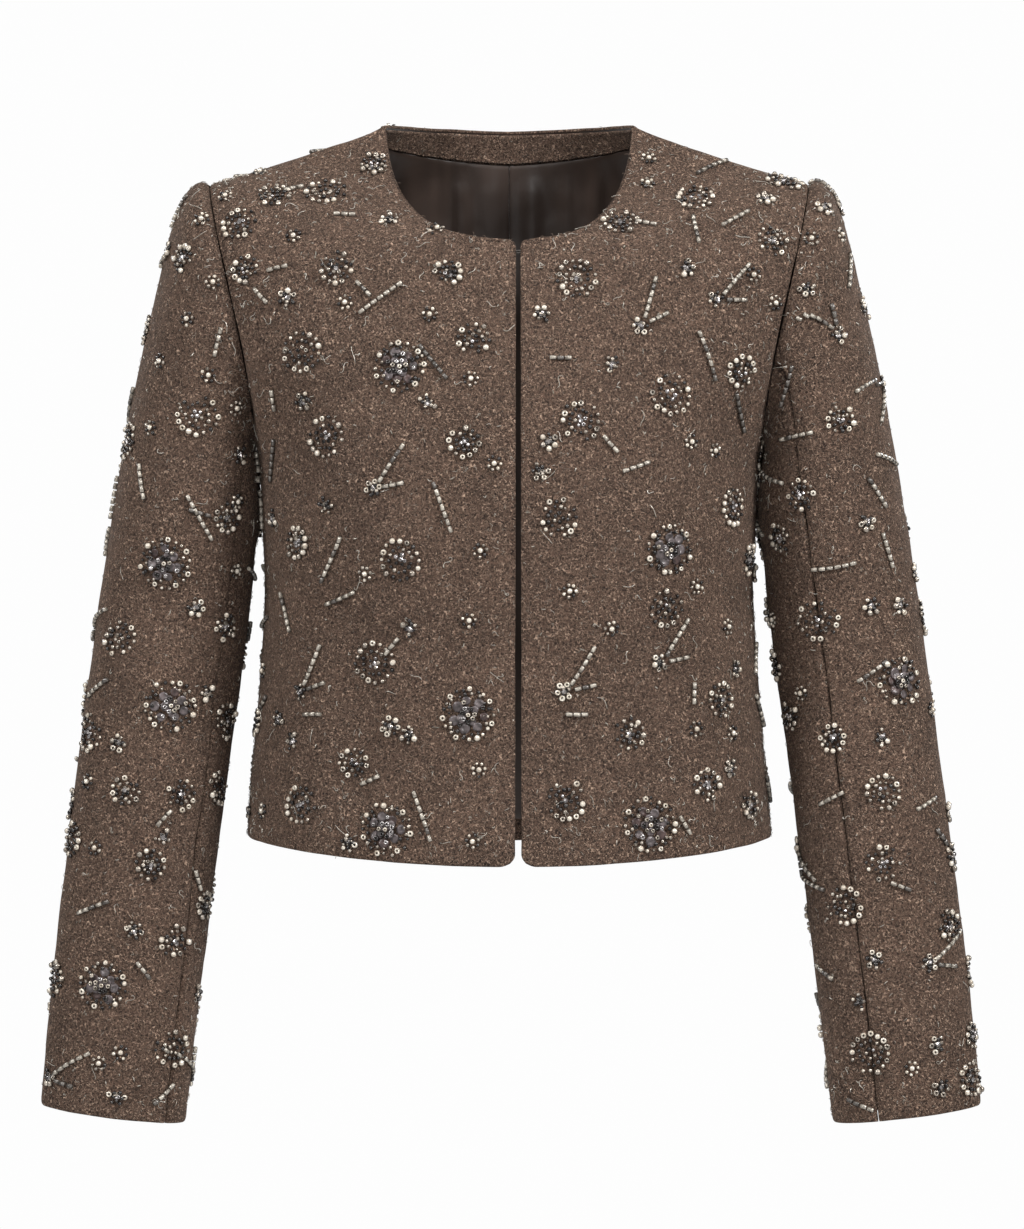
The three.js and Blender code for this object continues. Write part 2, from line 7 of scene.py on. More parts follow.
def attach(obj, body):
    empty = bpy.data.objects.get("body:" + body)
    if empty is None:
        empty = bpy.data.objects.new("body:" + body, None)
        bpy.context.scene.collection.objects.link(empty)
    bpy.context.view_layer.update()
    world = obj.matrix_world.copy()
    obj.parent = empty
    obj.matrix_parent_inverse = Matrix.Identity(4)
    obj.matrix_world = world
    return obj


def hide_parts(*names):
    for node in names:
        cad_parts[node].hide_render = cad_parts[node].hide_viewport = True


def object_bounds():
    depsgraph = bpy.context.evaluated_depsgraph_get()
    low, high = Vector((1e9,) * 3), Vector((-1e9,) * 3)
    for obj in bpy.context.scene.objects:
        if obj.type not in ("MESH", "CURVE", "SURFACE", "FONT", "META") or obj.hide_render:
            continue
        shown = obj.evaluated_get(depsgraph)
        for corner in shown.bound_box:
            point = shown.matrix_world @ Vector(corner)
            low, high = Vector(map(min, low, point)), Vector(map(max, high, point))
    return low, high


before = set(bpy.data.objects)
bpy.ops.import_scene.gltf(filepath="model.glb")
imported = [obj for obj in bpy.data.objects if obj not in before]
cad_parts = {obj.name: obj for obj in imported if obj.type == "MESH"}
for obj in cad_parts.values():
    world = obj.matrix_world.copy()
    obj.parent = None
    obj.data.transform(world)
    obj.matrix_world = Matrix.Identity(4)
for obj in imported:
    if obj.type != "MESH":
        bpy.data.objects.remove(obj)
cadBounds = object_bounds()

print("frame loaded:", len(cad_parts), "solids")

# Sizes below are in millimetres, in the frame's own axes; meshes are made in metres
millimetre = 0.001

cloth = {
    "wall": 2.2,
    "free": (4.5, 0.9),     # free edges curl inwards over this width, by this depth
    "seam": (5.0, 0.8),     # seams sink likewise
    "pressed": (3.4, 1.8),  # and the sleeves' long seams sink more sharply
    "seamClose": 0.33,      # how far each side of a seam reaches over its gap
    "lumpSize": 24.0,
    "lumpHeight": 0.55,
    "foldFade": 0.16,       # the body's folds fade out over this share of a panel at its side
}

neck = {"half": 82.5, "frontDrop": 84, "share": 0.42}  # share: how much of the back's top edge is neckline
shoulder = {"half": 199, "drop": 40, "sag": 2, "back": 6}
armpit = {"half": 167, "drop": 213, "dip": 150}
# The front edges meet this shift to the wearer's left, and the slit widens from its top to the hem
opening = {"shift": 6, "top": 2.4, "hem": 3.4, "topAt": 1.5, "hemCorner": 8.5, "neckCorner": 5.0}
hem = {"front": 489, "sideRise": 14, "backRise": 6}
armholeForm = {"front": 62, "back": 66, "scoop": 6, "handle": 42}
yoke = {"height": -36, "turn": math.radians(40)}

# How far a row's inner handle reaches, as a share of the row, at the armpit's height and at the top
rowSpread = {"front": (0.52, 0.34), "back": (0.52, 0.42)}

# The start of each neckline at the middle, and the two handles of its curve up to the neck point
necklines = {
    "front": ((0, -82, -84), (52, -80, -84), (79, -30, -58)),
    "back": ((0, 75, 4.4), (48, 75, 5.6), (80.5, 40, 6)),
}

frontForm = {
    "width": 240,
    "lower": 276,       # from the hem to the armpit's height, and from there to the shoulder seam
    "upper": 255,
    "columns": 58,
    "rows": 118,
    "relaxPasses": 110,
    "relaxFrom": 0.11,  # the evening out of the rows fades in over this share of the width
    "relaxTo": 0.5,     # and out again over this share
    "cut": (0.26, 0.51),
}
backForm = {
    "spans": (276, 178, 46),  # from the hem to the armpit's height, to the yoke and to the top edge
    "rows": 118,
    "neckColumns": 23,
    "sideColumns": 28,
    "bulge": 1.06,            # the top span is this much longer over its curve than straight
    "cut": (0.50, 0.51),
}
sleeveForm = {
    "rings": 128,
    "panelStep": 4.2,   # degrees between a panel's columns
    "aroundColumns": 96,
    "upperShare": 0.42,  # the upper half of the table takes up this share of the rings
    "frontSeam": {"right": 141, "left": 116},
    "backSeam": 238,
    "cuffSlim": 2.6,    # the right cuff is this much slimmer
    "slimFrom": 10,
    "slimOver": 4,
    "cuts": {"top": (0.25, 0.66), "under": (0.14, 0.56)},
}


def table(columns, rows):
    return [dict(zip(columns.split(), row)) for row in rows]


bodyRows = table("z half front back", [
    (-489, 176, 110, 98),
    (-440, 172.5, 107, 94),
    (-380, 167, 106, 88),
    (-311, 163, 109, 84),
    (-260, 164.8, 114, 90),
    (-213, 167, 112, 97),
    (-150, 172, 104, 101),
    (-84, 180, 82, 95.5),
    (-36, 190, 66, 87),
    (4.4, 199, 50, 75),
])

# The sleeve's outer and inner line, the depth of its middle, and its reach forward and back
sleeveRows = table("at outX outZ inX inZ midY front back", [
    (0, 199, -40, 167, -213, 6, 62, 66),
    (1, 206, -38.4, 168.6, -215.5, 6, 64.5, 68),
    (2, 213, -43, 168.9, -219.5, 6, 65.5, 69),
    (3, 219, -53, 168.4, -225, 6, 65.5, 68.5),
    (4, 225.7, -73, 167.3, -232, 6, 64.5, 67),
    (5, 234, -108, 166.2, -242, 5, 62, 65),
    (6, 243.5, -147, 165.2, -255, 5, 60, 62),
    (7, 251.5, -187, 166.2, -269, 4, 58, 60),
    (8, 259, -228, 169.6, -287, 4, 56, 57),
    (9, 269, -290, 172.5, -322, 3, 52, 53),
    (10, 278, -355, 179, -374, 0, 48, 49),
    (11, 288.5, -437, 189, -451, -7, 43, 44),
    (12, 298.5, -520, 199, -533, -16, 38, 39),
    (13, 307, -598, 208, -610, -24, 34, 35),
    (14, 311.5, -650, 213.5, -662, -28, 31, 32),
])

bodyFolds = table("face x z along across turn height", [
    ("front", 84, -258, 78, 58, 90, 5.5),  # bust
    ("front", 128, -400, 110, 20, 84, 2.4),
    ("front", 98, -420, 90, 16, 88, -2.0),
    ("front", 142, -215, 62, 15, 62, -2.6),
    ("front", 150, -318, 60, 17, 20, -2.2),
    ("back", 92, -128, 74, 54, 80, 3.4),  # shoulder blade
    ("back", 60, -400, 110, 24, 92, 2.6),
    ("back", 118, -385, 100, 20, 84, -2.4),
    ("back", 140, -238, 64, 16, 58, -2.8),
    ("back", 96, -322, 88, 18, 8, -2.2),
])

sleeveFolds = table("ring turn along across slope height", [
    (9.2, 92, 44, 0.42, -0.006, -3.0),
    (9.9, 118, 50, 0.40, 0.008, -3.4),
    (10.5, 84, 46, 0.42, -0.007, -2.6),
    (11.3, 130, 42, 0.36, 0.006, -2.0),
    (5.4, 118, 24, 1.7, 0.012, -3.0),
    (5.8, 246, 24, 1.8, -0.012, -3.0),
    (9.6, 248, 46, 0.44, 0.007, -2.6),
    (10.4, 268, 44, 0.42, -0.006, -2.2),
])

# The way the cloth arrives at the back's top edge, by its place along that edge
topHeadings = table("s x y z", [
    (0, 0, -0.3, 0.95),
    (0.21, -0.42, -0.5, 0.75),
    (0.42, -0.5, -0.8, 0.34),
    (0.56, -0.15, -1, 0.2),
    (1, 0, -1, 0),
])


def mix(a, b, t):
    return a + (b - a) * t


def clamp01(t):
    return min(1.0, max(0.0, t))


def ease(t):
    t = np.clip(t, 0, 1)
    return t * t * (3 - 2 * t)


# A smooth reading of one column of a table between its rows
def read(rows, key, at, column):
    last = len(rows) - 1
    above = next((j for j, row in enumerate(rows) if row[key] > at), last)
    i = min(max(above - 1, 0), last - 1)

    def slope(j):
        a, b = rows[max(0, j - 1)], rows[min(last, j + 1)]
        return (b[column] - a[column]) / (b[key] - a[key])

    step = rows[i + 1][key] - rows[i][key]
    t = clamp01((at - rows[i][key]) / step)
    t2, t3 = t * t, t * t * t
    return ((2 * t3 - 3 * t2 + 1) * rows[i][column] + (t3 - 2 * t2 + t) * step * slope(i)
            + (3 * t2 - 2 * t3) * rows[i + 1][column] + (t3 - t2) * step * slope(i + 1))


def bezier(p0, p1, p2, p3, t):
    u = 1 - t
    return p0 * (u * u * u) + p1 * (3 * u * u * t) + p2 * (3 * u * t * t) + p3 * (t * t * t)


# The pattern's named points and seams

neckPoint = Vector((neck["half"], 2, 0))
shoulderPoint = Vector((shoulder["half"], shoulder["back"], -shoulder["drop"]))
armpitPoint = Vector((armpit["half"], shoulder["back"], -armpit["drop"]))
seamHeading = (shoulderPoint - neckPoint).normalized()


def neckline(face, t, edgeX=0):
    low, a, b = (Vector(point) for point in necklines[face])
    low.x = edgeX
    return bezier(low, a, b, neckPoint, t)


def shoulderSeam(t):
    p = neckPoint.lerp(shoulderPoint, t)
    p.z -= shoulder["sag"] * math.sin(math.pi * math.sqrt(clamp01(t)))
    return p


# By the turn from the shoulder point: forward for side 1, backward for side -1
def armhole(turn, side):
    p = armpitPoint.lerp(shoulderPoint, 0.5).lerp(shoulderPoint, math.cos(turn))
    p.y = shoulder["back"] - side * armholeForm["front" if side > 0 else "back"] * math.sin(turn)
    if side > 0:
        p.x -= armholeForm["scoop"] * math.sin(turn) ** 2 * (1 - math.cos(turn)) / 2
    return p


# The way a row of the body runs out over the armhole
def armholeHeading(turn, side):
    step = 0.01
    run = armhole(turn + step, side) - armhole(turn - step, side)
    lift = math.cos(turn)
    end = Vector((0.3, 0, 0.95)) if lift > 0 else Vector((1, 0, 0))
    out = Vector((0.55, -0.83 * side, 0.05)).lerp(end, abs(lift)).normalized()
    return (out.cross(run) * side).normalized()


# The body, from the hem up: s runs from the middle (0) to the side (1)

def lowerBody(s, u, face, edgeX):
    side = 1 if face == "front" else -1
    middle = -hem["front"] + (0 if face == "front" else hem["backRise"])
    low = mix(middle, -hem["front"] + hem["sideRise"], ease(s))
    z = mix(low, -armpit["drop"] - armpit["dip"] * s ** 6 * (1 - s), u)
    out = 3 * (1 - s) ** 2 * s * 0.6 + 3 * (1 - s) * s * s + s ** 3
    back = 3 * (1 - s) * s * s * 0.4 + s ** 3
    x = mix(edgeX, read(bodyRows, "z", z, "half"), out)
    y = mix(-side * read(bodyRows, "z", z, face), shoulder["back"], back)
    return Vector((x, y, z))


# A row above the armpit's height, from its inner point to the armhole
def upperRow(s, v, turn, side, inner, heading, spread):
    outer = armhole(turn, side)
    arrival = Vector((0, 0.4 * side, 0.9)) if v < 1e-6 else armholeHeading(turn, side)
    a = inner + heading * ((outer - inner).length * spread)
    return bezier(inner, a, outer - arrival * armholeForm["handle"], outer, s)


neckCornerAt = 0.5  # of the way up the front's inner edge, from the armpit's height to the neck point


def frontInnerEdge(v, edgeX):
    if v <= neckCornerAt:
        z = mix(-armpit["drop"], -neck["frontDrop"], v / neckCornerAt)
        return Vector((edgeX, -read(bodyRows, "z", z, "front"), z))
    return neckline("front", (v - neckCornerAt) / (1 - neckCornerAt), edgeX)


def frontInnerEdgeRounded(v, edgeX):
    cut = opening["neckCorner"] / frontForm["upper"]
    if abs(v - neckCornerAt) >= cut:
        return frontInnerEdge(v, edgeX)
    t = (v - neckCornerAt + cut) / (2 * cut)
    a, corner, b = (frontInnerEdge(neckCornerAt + d, edgeX) for d in (-cut, 0, cut))
    return a * (1 - t) ** 2 + corner * (2 * t * (1 - t)) + b * t * t


def upperFrontRow(s, v, edgeX):
    heading = Vector((1, 0, 0))
    if v > neckCornerAt:
        heading = heading.lerp(seamHeading, ease((v - neckCornerAt) / (1 - neckCornerAt))).normalized()
    inner = frontInnerEdgeRounded(v, edgeX)
    return upperRow(s, v, math.pi * (1 - v), 1, inner, heading, mix(*rowSpread["front"], ease(v)))


def upperFront(s, u, edgeX):
    if u > 1 - 1e-6:
        return shoulderSeam(s)
    p = upperFrontRow(s, u, edgeX)
    p += (lowerBody(s, 1, "front", edgeX) - upperFrontRow(s, 0, edgeX)) * (1 - u) ** 3
    p += (shoulderSeam(s) - upperFrontRow(s, 1, edgeX)) * u ** 6
    return p


def upperBackRow(s, v):
    z = mix(-armpit["drop"], yoke["height"], v)
    inner = Vector((0, read(bodyRows, "z", z, "back"), z))
    turn, spread = mix(math.pi, yoke["turn"], v), mix(*rowSpread["back"], v)
    return upperRow(s, v, turn, -1, inner, Vector((1, 0, 0)), spread)


def upperBack(s, u):
    return upperBackRow(s, u) + (lowerBody(s, 1, "back", 0) - upperBackRow(s, 0)) * (1 - u) ** 3


def topBack(s, u):
    low, share = upperBack(s, 1), neck["share"]
    rise = (low - upperBack(s, 0.97)).normalized()
    top = neckline("back", s / share) if s < share else shoulderSeam((s - share) / (1 - share))
    heading = Vector([read(topHeadings, "s", s, axis) for axis in "xyz"]).normalized()
    handle = (top - low).length * 0.36
    return bezier(low, low + rise * handle, top - heading * handle, top, u)


# v runs from 0 at the hem to 3 at the top edge; s from -1 to 1 across
def backPoint(s, v):
    across = abs(s)
    if v <= 1:
        p = lowerBody(across, v, "back", 0)
    elif v <= 2:
        p = upperBack(across, v - 1)
    else:
        p = topBack(across, v - 2)
    if s < 0:
        p.x = -p.x
    return p


# v runs from 0 at the hem to 2 at the shoulder seam; s from the front edge out
def frontPoint(s, v, edgeX):
    radius = opening["hemCorner"]
    a, b = s * frontForm["width"], v * frontForm["lower"]
    if a < radius and b < radius:  # a square corner becomes a quarter circle
        p, q = (radius - a) / radius, (radius - b) / radius
        s = (radius - radius * p * math.sqrt(1 - q * q / 2)) / frontForm["width"]
        v = (radius - radius * q * math.sqrt(1 - p * p / 2)) / frontForm["lower"]
    return lowerBody(s, v, "front", edgeX) if v <= 1 else upperFront(s, v - 1, edgeX)


# The place up the back that lies a given distance from the hem
def backPlace(distance):
    v = 0
    for span in backForm["spans"]:
        v += clamp01(distance / span)
        distance -= span
    return v


# Grids of points, and what raises or lowers them

# Places from 0 to 1, closer together towards both ends
def gradedPlaces(count, crowd=0.6):
    return [i / count - crowd / (2 * math.pi) * math.sin(2 * math.pi * i / count) for i in range(count + 1)]


def unit(vectors):
    return vectors / np.linalg.norm(vectors, axis=-1, keepdims=True)


def gridNormals(points):
    return unit(np.cross(np.gradient(points, axis=1), np.gradient(points, axis=0)))


def raised(points, height):
    return points + gridNormals(points) * np.asarray(height)[..., None]


# How far each point lies from each of the grid's edges
def sides(points):
    across = np.linalg.norm(np.diff(points, axis=1), axis=2)
    up = np.linalg.norm(np.diff(points, axis=0), axis=2)
    left = np.pad(np.cumsum(across, axis=1), ((0, 0), (1, 0)))
    foot = np.pad(np.cumsum(up, axis=0), ((1, 0), (0, 0)))
    return {"left": left, "right": left[:, -1:] - left, "foot": foot, "top": foot[-1:] - foot}


# Free edges roll inwards, and seams lie in a soft groove
def edgeHeights(points, **edges):
    heights, distance = np.zeros(points.shape[:2]), sides(points)
    for side, kind in edges.items():
        width, depth = cloth[kind]
        heights -= depth * np.clip(1 - distance[side] / width, 0, 1) ** 2
    return heights


def lumpHeights(points):
    flat = points.reshape(-1, 3) / cloth["lumpSize"]
    values = [noise.noise(Vector(p)) + 0.5 * noise.noise(Vector(p) * 2.3) for p in flat]
    return cloth["lumpHeight"] * np.array(values).reshape(points.shape[:2])


def bodyFoldHeights(points, face, across):
    x, z = np.abs(points[..., 0]), points[..., 2]
    heights = np.zeros(points.shape[:2])
    for fold in (fold for fold in bodyFolds if fold["face"] == face):
        turn = math.radians(fold["turn"])
        dx, dz = x - fold["x"], z - fold["z"]
        along = (dx * math.cos(turn) + dz * math.sin(turn)) / fold["along"]
        over = (-dx * math.sin(turn) + dz * math.cos(turn)) / fold["across"]
        heights += fold["height"] * np.exp(-along ** 2 - over ** 2)
    return heights * ease((1 - np.abs(across)) / cloth["foldFade"])


def sleeveFoldHeights(ring, degrees):
    heights = np.zeros(len(degrees))
    for fold in sleeveFolds:
        away = degrees - fold["turn"]
        over = (ring - fold["ring"] - fold["slope"] * away) / fold["across"]
        heights += fold["height"] * np.exp(-(away / fold["along"]) ** 2 - over ** 2)
    return heights * ease(ring / 2)


# Raises a grid by its folds and edges, mirrors it for the right side, and adds slight lumps
def shapedGrid(points, heights, mirrored=False):
    points = raised(points, heights)
    if mirrored:
        points = points[:, ::-1] * np.array([-1, 1, 1])
    return raised(points, lumpHeights(points))


def frontGrid(mirrored):
    away = -opening["shift"] if mirrored else opening["shift"]
    edgeHem, edgeTop = away + opening["hem"] / 2, away + opening["top"] / 2
    lower, upper = frontForm["lower"], frontForm["upper"]
    places = np.array(gradedPlaces(frontForm["columns"]))
    cornerRow = (lower + upper * neckCornerAt) / (lower + upper)
    reach = opening["neckCorner"] / (lower + upper)
    closeRows = [cornerRow + reach * k for k in (-0.9, -0.5, -0.15, 0.15, 0.5, 0.9)]
    points = []
    for t in sorted(gradedPlaces(frontForm["rows"]) + closeRows):
        d = t * (lower + upper)
        v = d / lower if d <= lower else 1 + (d - lower) / upper
        edgeX = mix(edgeHem, edgeTop, clamp01(v / opening["topAt"]))
        points.append([tuple(frontPoint(s, v, edgeX)) for s in places])
    points = np.array(points)
    share = 0.5 * ease((1 - places) / frontForm["relaxTo"]) * ease(places / frontForm["relaxFrom"])
    for _ in range(frontForm["relaxPasses"]):
        middle = (points[:-2, 1:-1] + points[2:, 1:-1]) / 2
        points[1:-1, 1:-1] += share[1:-1, None] * (middle - points[1:-1, 1:-1])
    edges = edgeHeights(points, left="free", foot="free", top="seam")
    return shapedGrid(points, bodyFoldHeights(points, "front", places) + edges, mirrored)


def backGrid():
    share, inner = neck["share"], backForm["neckColumns"]
    half = [share * i / inner for i in range(inner + 1)]
    half += [mix(share, 1, t) for t in gradedPlaces(backForm["sideColumns"], 0.4)]
    half = sorted(set(round(s, 6) for s in half))
    columns = np.array(half[:0:-1] + [-s for s in half])
    length = sum(backForm["spans"])
    rows = [backPlace(t * length) for t in gradedPlaces(backForm["rows"])]
    points = np.array([[tuple(backPoint(s, v)) for s in columns] for v in rows])
    seamEdges, freeEdges = (edgeHeights(points, top=kind, foot="free") for kind in ("seam", "free"))
    edges = np.where(np.abs(columns) / share > 1, seamEdges, freeEdges)
    return shapedGrid(points, bodyFoldHeights(points, "back", columns) + edges)


# Rings run from the armhole to the cuff, and turns from the outer line through the front
def sleeveGrid(turns, mirrored, **edges):
    turns = np.array(turns)
    c, s = np.cos(np.radians(turns)), np.sin(np.radians(turns))
    outward = (1 + c) / 2
    scoop = np.where(s > 0, armholeForm["scoop"] * s * s * (1 - c) / 2, 0)
    split = sleeveForm["upperShare"]
    points, heights = [], []
    for t in gradedPlaces(sleeveForm["rings"], 0.5):
        share = t / split * 0.5 if t < split else mix(0.5, 1, (t - split) / (1 - split))
        ring = (len(sleeveRows) - 1) * share
        at = {key: read(sleeveRows, "at", ring, key) for key in sleeveRows[0] if key != "at"}
        nearCuff = ease((ring - sleeveForm["slimFrom"]) / sleeveForm["slimOver"])
        slim = nearCuff * sleeveForm["cuffSlim"] * mirrored
        x = mix(at["inX"], at["outX"], outward) - scoop * clamp01(1 - ring / 5) - slim * outward
        y = at["midY"] - np.where(s > 0, at["front"], at["back"]) * s
        points.append(np.stack([x, y, mix(at["inZ"], at["outZ"], outward)], axis=1))
        heights.append(sleeveFoldHeights(ring, turns % 360))
    points = np.array(points)
    return shapedGrid(points, np.array(heights) + edgeHeights(points, **edges), mirrored)


# Meshes

def addObject(name, data):
    made = bpy.data.objects.new(name, data)
    bpy.context.scene.collection.objects.link(made)
    return made


def newMesh(name, vertices, faces, materials, faceMaterials=0, smooth=True):
    mesh = bpy.data.meshes.new(name)
    mesh.vertices.add(len(vertices))
    mesh.vertices.foreach_set("co", (vertices * millimetre).astype(np.float32).ravel())
    mesh.loops.add(faces.size)
    mesh.loops.foreach_set("vertex_index", faces.astype(np.int32).ravel())
    mesh.polygons.add(len(faces))
    mesh.polygons.foreach_set("loop_start", np.arange(0, faces.size, faces.shape[1], dtype=np.int32))
    for material in materials:
        mesh.materials.append(material)
    for key, value, kind in (("material_index", faceMaterials, np.int32), ("use_smooth", smooth, bool)):
        mesh.polygons.foreach_set(key, np.full(len(faces), value, dtype=kind))
    mesh.update(calc_edges=True)
    return addObject(name, mesh)


# The four-sided faces between the rows and columns of a grid of vertex numbers
def quadFaces(index, order=(0, 1, 2, 3)):
    corners = [index[:-1, :-1], index[:-1, 1:], index[1:, 1:], index[1:, :-1]]
    return np.stack([corners[k] for k in order], axis=-1).reshape(-1, 4)


def halved(quads):
    return quads[:, [0, 1, 2, 0, 2, 3]].reshape(-1, 3)


# A closed sheet with a rounded rim; inside is a mask of the cells whose inner face shows the outer cloth.
# A closed edge is drawn in less, so it meets the piece next to it.
def clothShell(name, points, wall, materials, inside=True, closed=()):
    rows, columns = points.shape[:2]
    normals = gridNormals(points).reshape(-1, 3)
    across, up = unit(np.gradient(points, axis=1)), unit(np.gradient(points, axis=0))
    outward = np.zeros_like(points)
    borders = {"left": np.s_[:, 0], "right": np.s_[:, -1], "foot": np.s_[0], "top": np.s_[-1]}
    for edge, away in (("left", -across), ("right", across), ("foot", -up), ("top", up)):
        outward[borders[edge]] += away[borders[edge]]
    drawIn = np.full((rows, columns, 1), wall / 2)
    for edge in closed:
        drawIn[borders[edge]] = wall / 2 - cloth["seamClose"]
    outer = (points - outward * drawIn).reshape(-1, 3)
    index = np.arange(rows * columns).reshape(rows, columns)
    border = np.concatenate([index[0], index[1:, -1], index[-1, -2::-1], index[-2:0:-1, 0]])
    lean = unit(outward.reshape(-1, 3)[border])
    middle = outer[border] - normals[border] * (wall / 2)
    vertices, rings = [outer, outer - normals * wall], [border]
    for k, degrees in enumerate((45, 90, 135)):
        turn = math.radians(degrees)
        vertices.append(middle + (normals[border] * math.cos(turn) + lean * math.sin(turn)) * (wall / 2))
        rings.append(2 * rows * columns + k * len(border) + np.arange(len(border)))
    rings.append(border + rows * columns)
    rim = quadFaces(np.array([np.append(ring, ring[0]) for ring in rings]), (1, 0, 3, 2))
    inner = quadFaces(index + rows * columns, (0, 3, 2, 1))
    walls = np.stack([quadFaces(index), inner], axis=1).reshape(-1, 4)
    faceMaterials = np.zeros(len(walls) + len(rim))
    faceMaterials[1:len(walls):2] = ~np.broadcast_to(inside, (rows - 1, columns - 1)).ravel()
    return newMesh(name, np.concatenate(vertices), np.concatenate([walls, rim]), materials, faceMaterials)


# Node helpers

# Links or sets inputs, given by name or number
def feed(tree, inputs, values):
    for key, value in values.items():
        if isinstance(value, bpy.types.NodeSocket):
            tree.links.new(value, inputs[key])
        else:
            inputs[key].default_value = value


def node(tree, kind, values=None, **settings):
    made = tree.nodes.new(kind)
    for key, value in settings.items():
        setattr(made, key, value)
    feed(tree, made.inputs, values or {})
    return made


def calculate(tree, operation, a, b=0.0, clamp=False):
    return node(tree, "ShaderNodeMath", {0: a, 1: b}, operation=operation, use_clamp=clamp).outputs[0]


def blendColours(tree, factor, a, b):
    return node(tree, "ShaderNodeMix", {0: factor, 6: a, 7: b}, data_type="RGBA").outputs[2]


def rescale(tree, *given):  # value, from low, from high, then to low and to high where they aren't 0 and 1
    return node(tree, "ShaderNodeMapRange", dict(enumerate(given)), clamp=True).outputs[0]


def noiseValue(tree, place, scale, detail, **more):
    values = {"Vector": place, "Scale": scale, "Detail": detail, **more}
    return node(tree, "ShaderNodeTexNoise", values).outputs["Fac"]


def useGroup(tree, group, **values):
    return node(tree, "ShaderNodeGroup", values, node_tree=group).outputs


def bump(tree, height, strength, distance):
    values = {"Height": height, "Strength": strength, "Distance": distance}
    return node(tree, "ShaderNodeBump", values).outputs[0]


def newGroup(name, inputs, outputs):
    group = bpy.data.node_groups.new(name, "ShaderNodeTree")
    for label, kind, value in inputs:
        socket = group.interface.new_socket(name=label, in_out="INPUT", socket_type="NodeSocket" + kind)
        if value is not None:
            socket.default_value = value
    for label, kind in outputs:
        group.interface.new_socket(name=label, in_out="OUTPUT", socket_type="NodeSocket" + kind)
    return group, node(group, "NodeGroupInput").outputs, node(group, "NodeGroupOutput").inputs


# Short curly fibres: the lines along which a soft noise passes its middle value
def curlGroup():
    group, given, result = newGroup("curlyFibre", [
        ("Place", "Vector", None),
        ("Shift", "Vector", None),
        ("Scale", "Float", 400.0),
        ("Width", "Float", 0.08),
    ], [("Line", "Float")])
    values = {0: given["Place"], 1: given["Shift"]}
    place = node(group, "ShaderNodeVectorMath", values, operation="ADD").outputs[0]
    value = noiseValue(group, place, given["Scale"], 0.3, Distortion=0.7)
    fromMiddle = calculate(group, "ABSOLUTE", calculate(group, "SUBTRACT", value, 0.5))
    away = calculate(group, "DIVIDE", fromMiddle, given["Width"])
    line = calculate(group, "SUBTRACT", 1.0, away, clamp=True)
    breaks = rescale(group, noiseValue(group, place, 640.0, 0.0), 0.36, 0.46)
    feed(group, result, {"Line": calculate(group, "MULTIPLY", line, breaks)})
    return group


# Slow changes of tone, shared by every cloth and bead
def toneGroup():
    group, given, result = newGroup("toneDrift", [
        ("Place", "Vector", None),
        ("Scale", "Float", 30.0),
        ("Low", "Color", (0.1, 0.1, 0.1, 1)),
        ("High", "Color", (0.2, 0.2, 0.2, 1)),
    ], [("Color", "Color"), ("Value", "Float")])
    value = rescale(group, noiseValue(group, given["Place"], given["Scale"], 2.0), 0.32, 0.68)
    feed(group, result, {"Color": blendColours(group, value, given["Low"], given["High"]), "Value": value})
    return group


curlyFibre = curlGroup()
toneDrift = toneGroup()


def newMaterial(name):
    material = bpy.data.materials.new(name)
    material.use_nodes = True
    return material, material.node_tree


# A material with its place on the piece and its drift between two tones
def tonedMaterial(name, scale, look):
    material, tree = newMaterial(name)
    place = node(tree, "ShaderNodeTexCoord").outputs["Object"]
    tone = useGroup(tree, toneDrift, Place=place, Scale=scale, Low=look["low"], High=look["high"])
    return material, tree, place, tone


def paint(tree, values):
    feed(tree, tree.nodes["Principled BSDF"].inputs, values)


boucle = {
    # The first colour is the dark ground: partly the wool's own dark fibre, partly painted shade between the
    # curls
    "darkGroundAndShade": (0.016, 0.009, 0.007, 1),
    "low": (0.096, 0.058, 0.041, 1),
    "high": (0.145, 0.088, 0.062, 1),
    "middle": (0.255, 0.160, 0.114, 1),
    "curl": (0.60, 0.415, 0.303, 1),
    "thread": (0.42, 0.38, 0.32, 1),
    "sheen": (0.60, 0.48, 0.38, 1),
    "toneScale": 34.0,
    "grainScale": 620.0,
    "curlScale": 520.0,
    "curlWidth": 0.062,
    "curlLayers": [((0, 0, 0), 1.0), ((3.1, 1.7, 5.3), 1.12), ((6.7, 8.1, 0.9), 0.9)],
    # How the grain and each layer of curls cover what lies below: from, to, least and most
    "covers": [(0.38, 0.62, 0.05, 0.9), (0.0, 0.7), (0.0, 0.7), (0.25, 0.9, 0.0, 0.85)],
    "threadShift": (9.2, 4.4, 2.8),
    "threadScale": 240.0,
    "threadWidth": 0.020,
    "threadFrom": 0.64,  # share of the cloth left without metallic thread
    "bumpDepth": 0.0011,
}
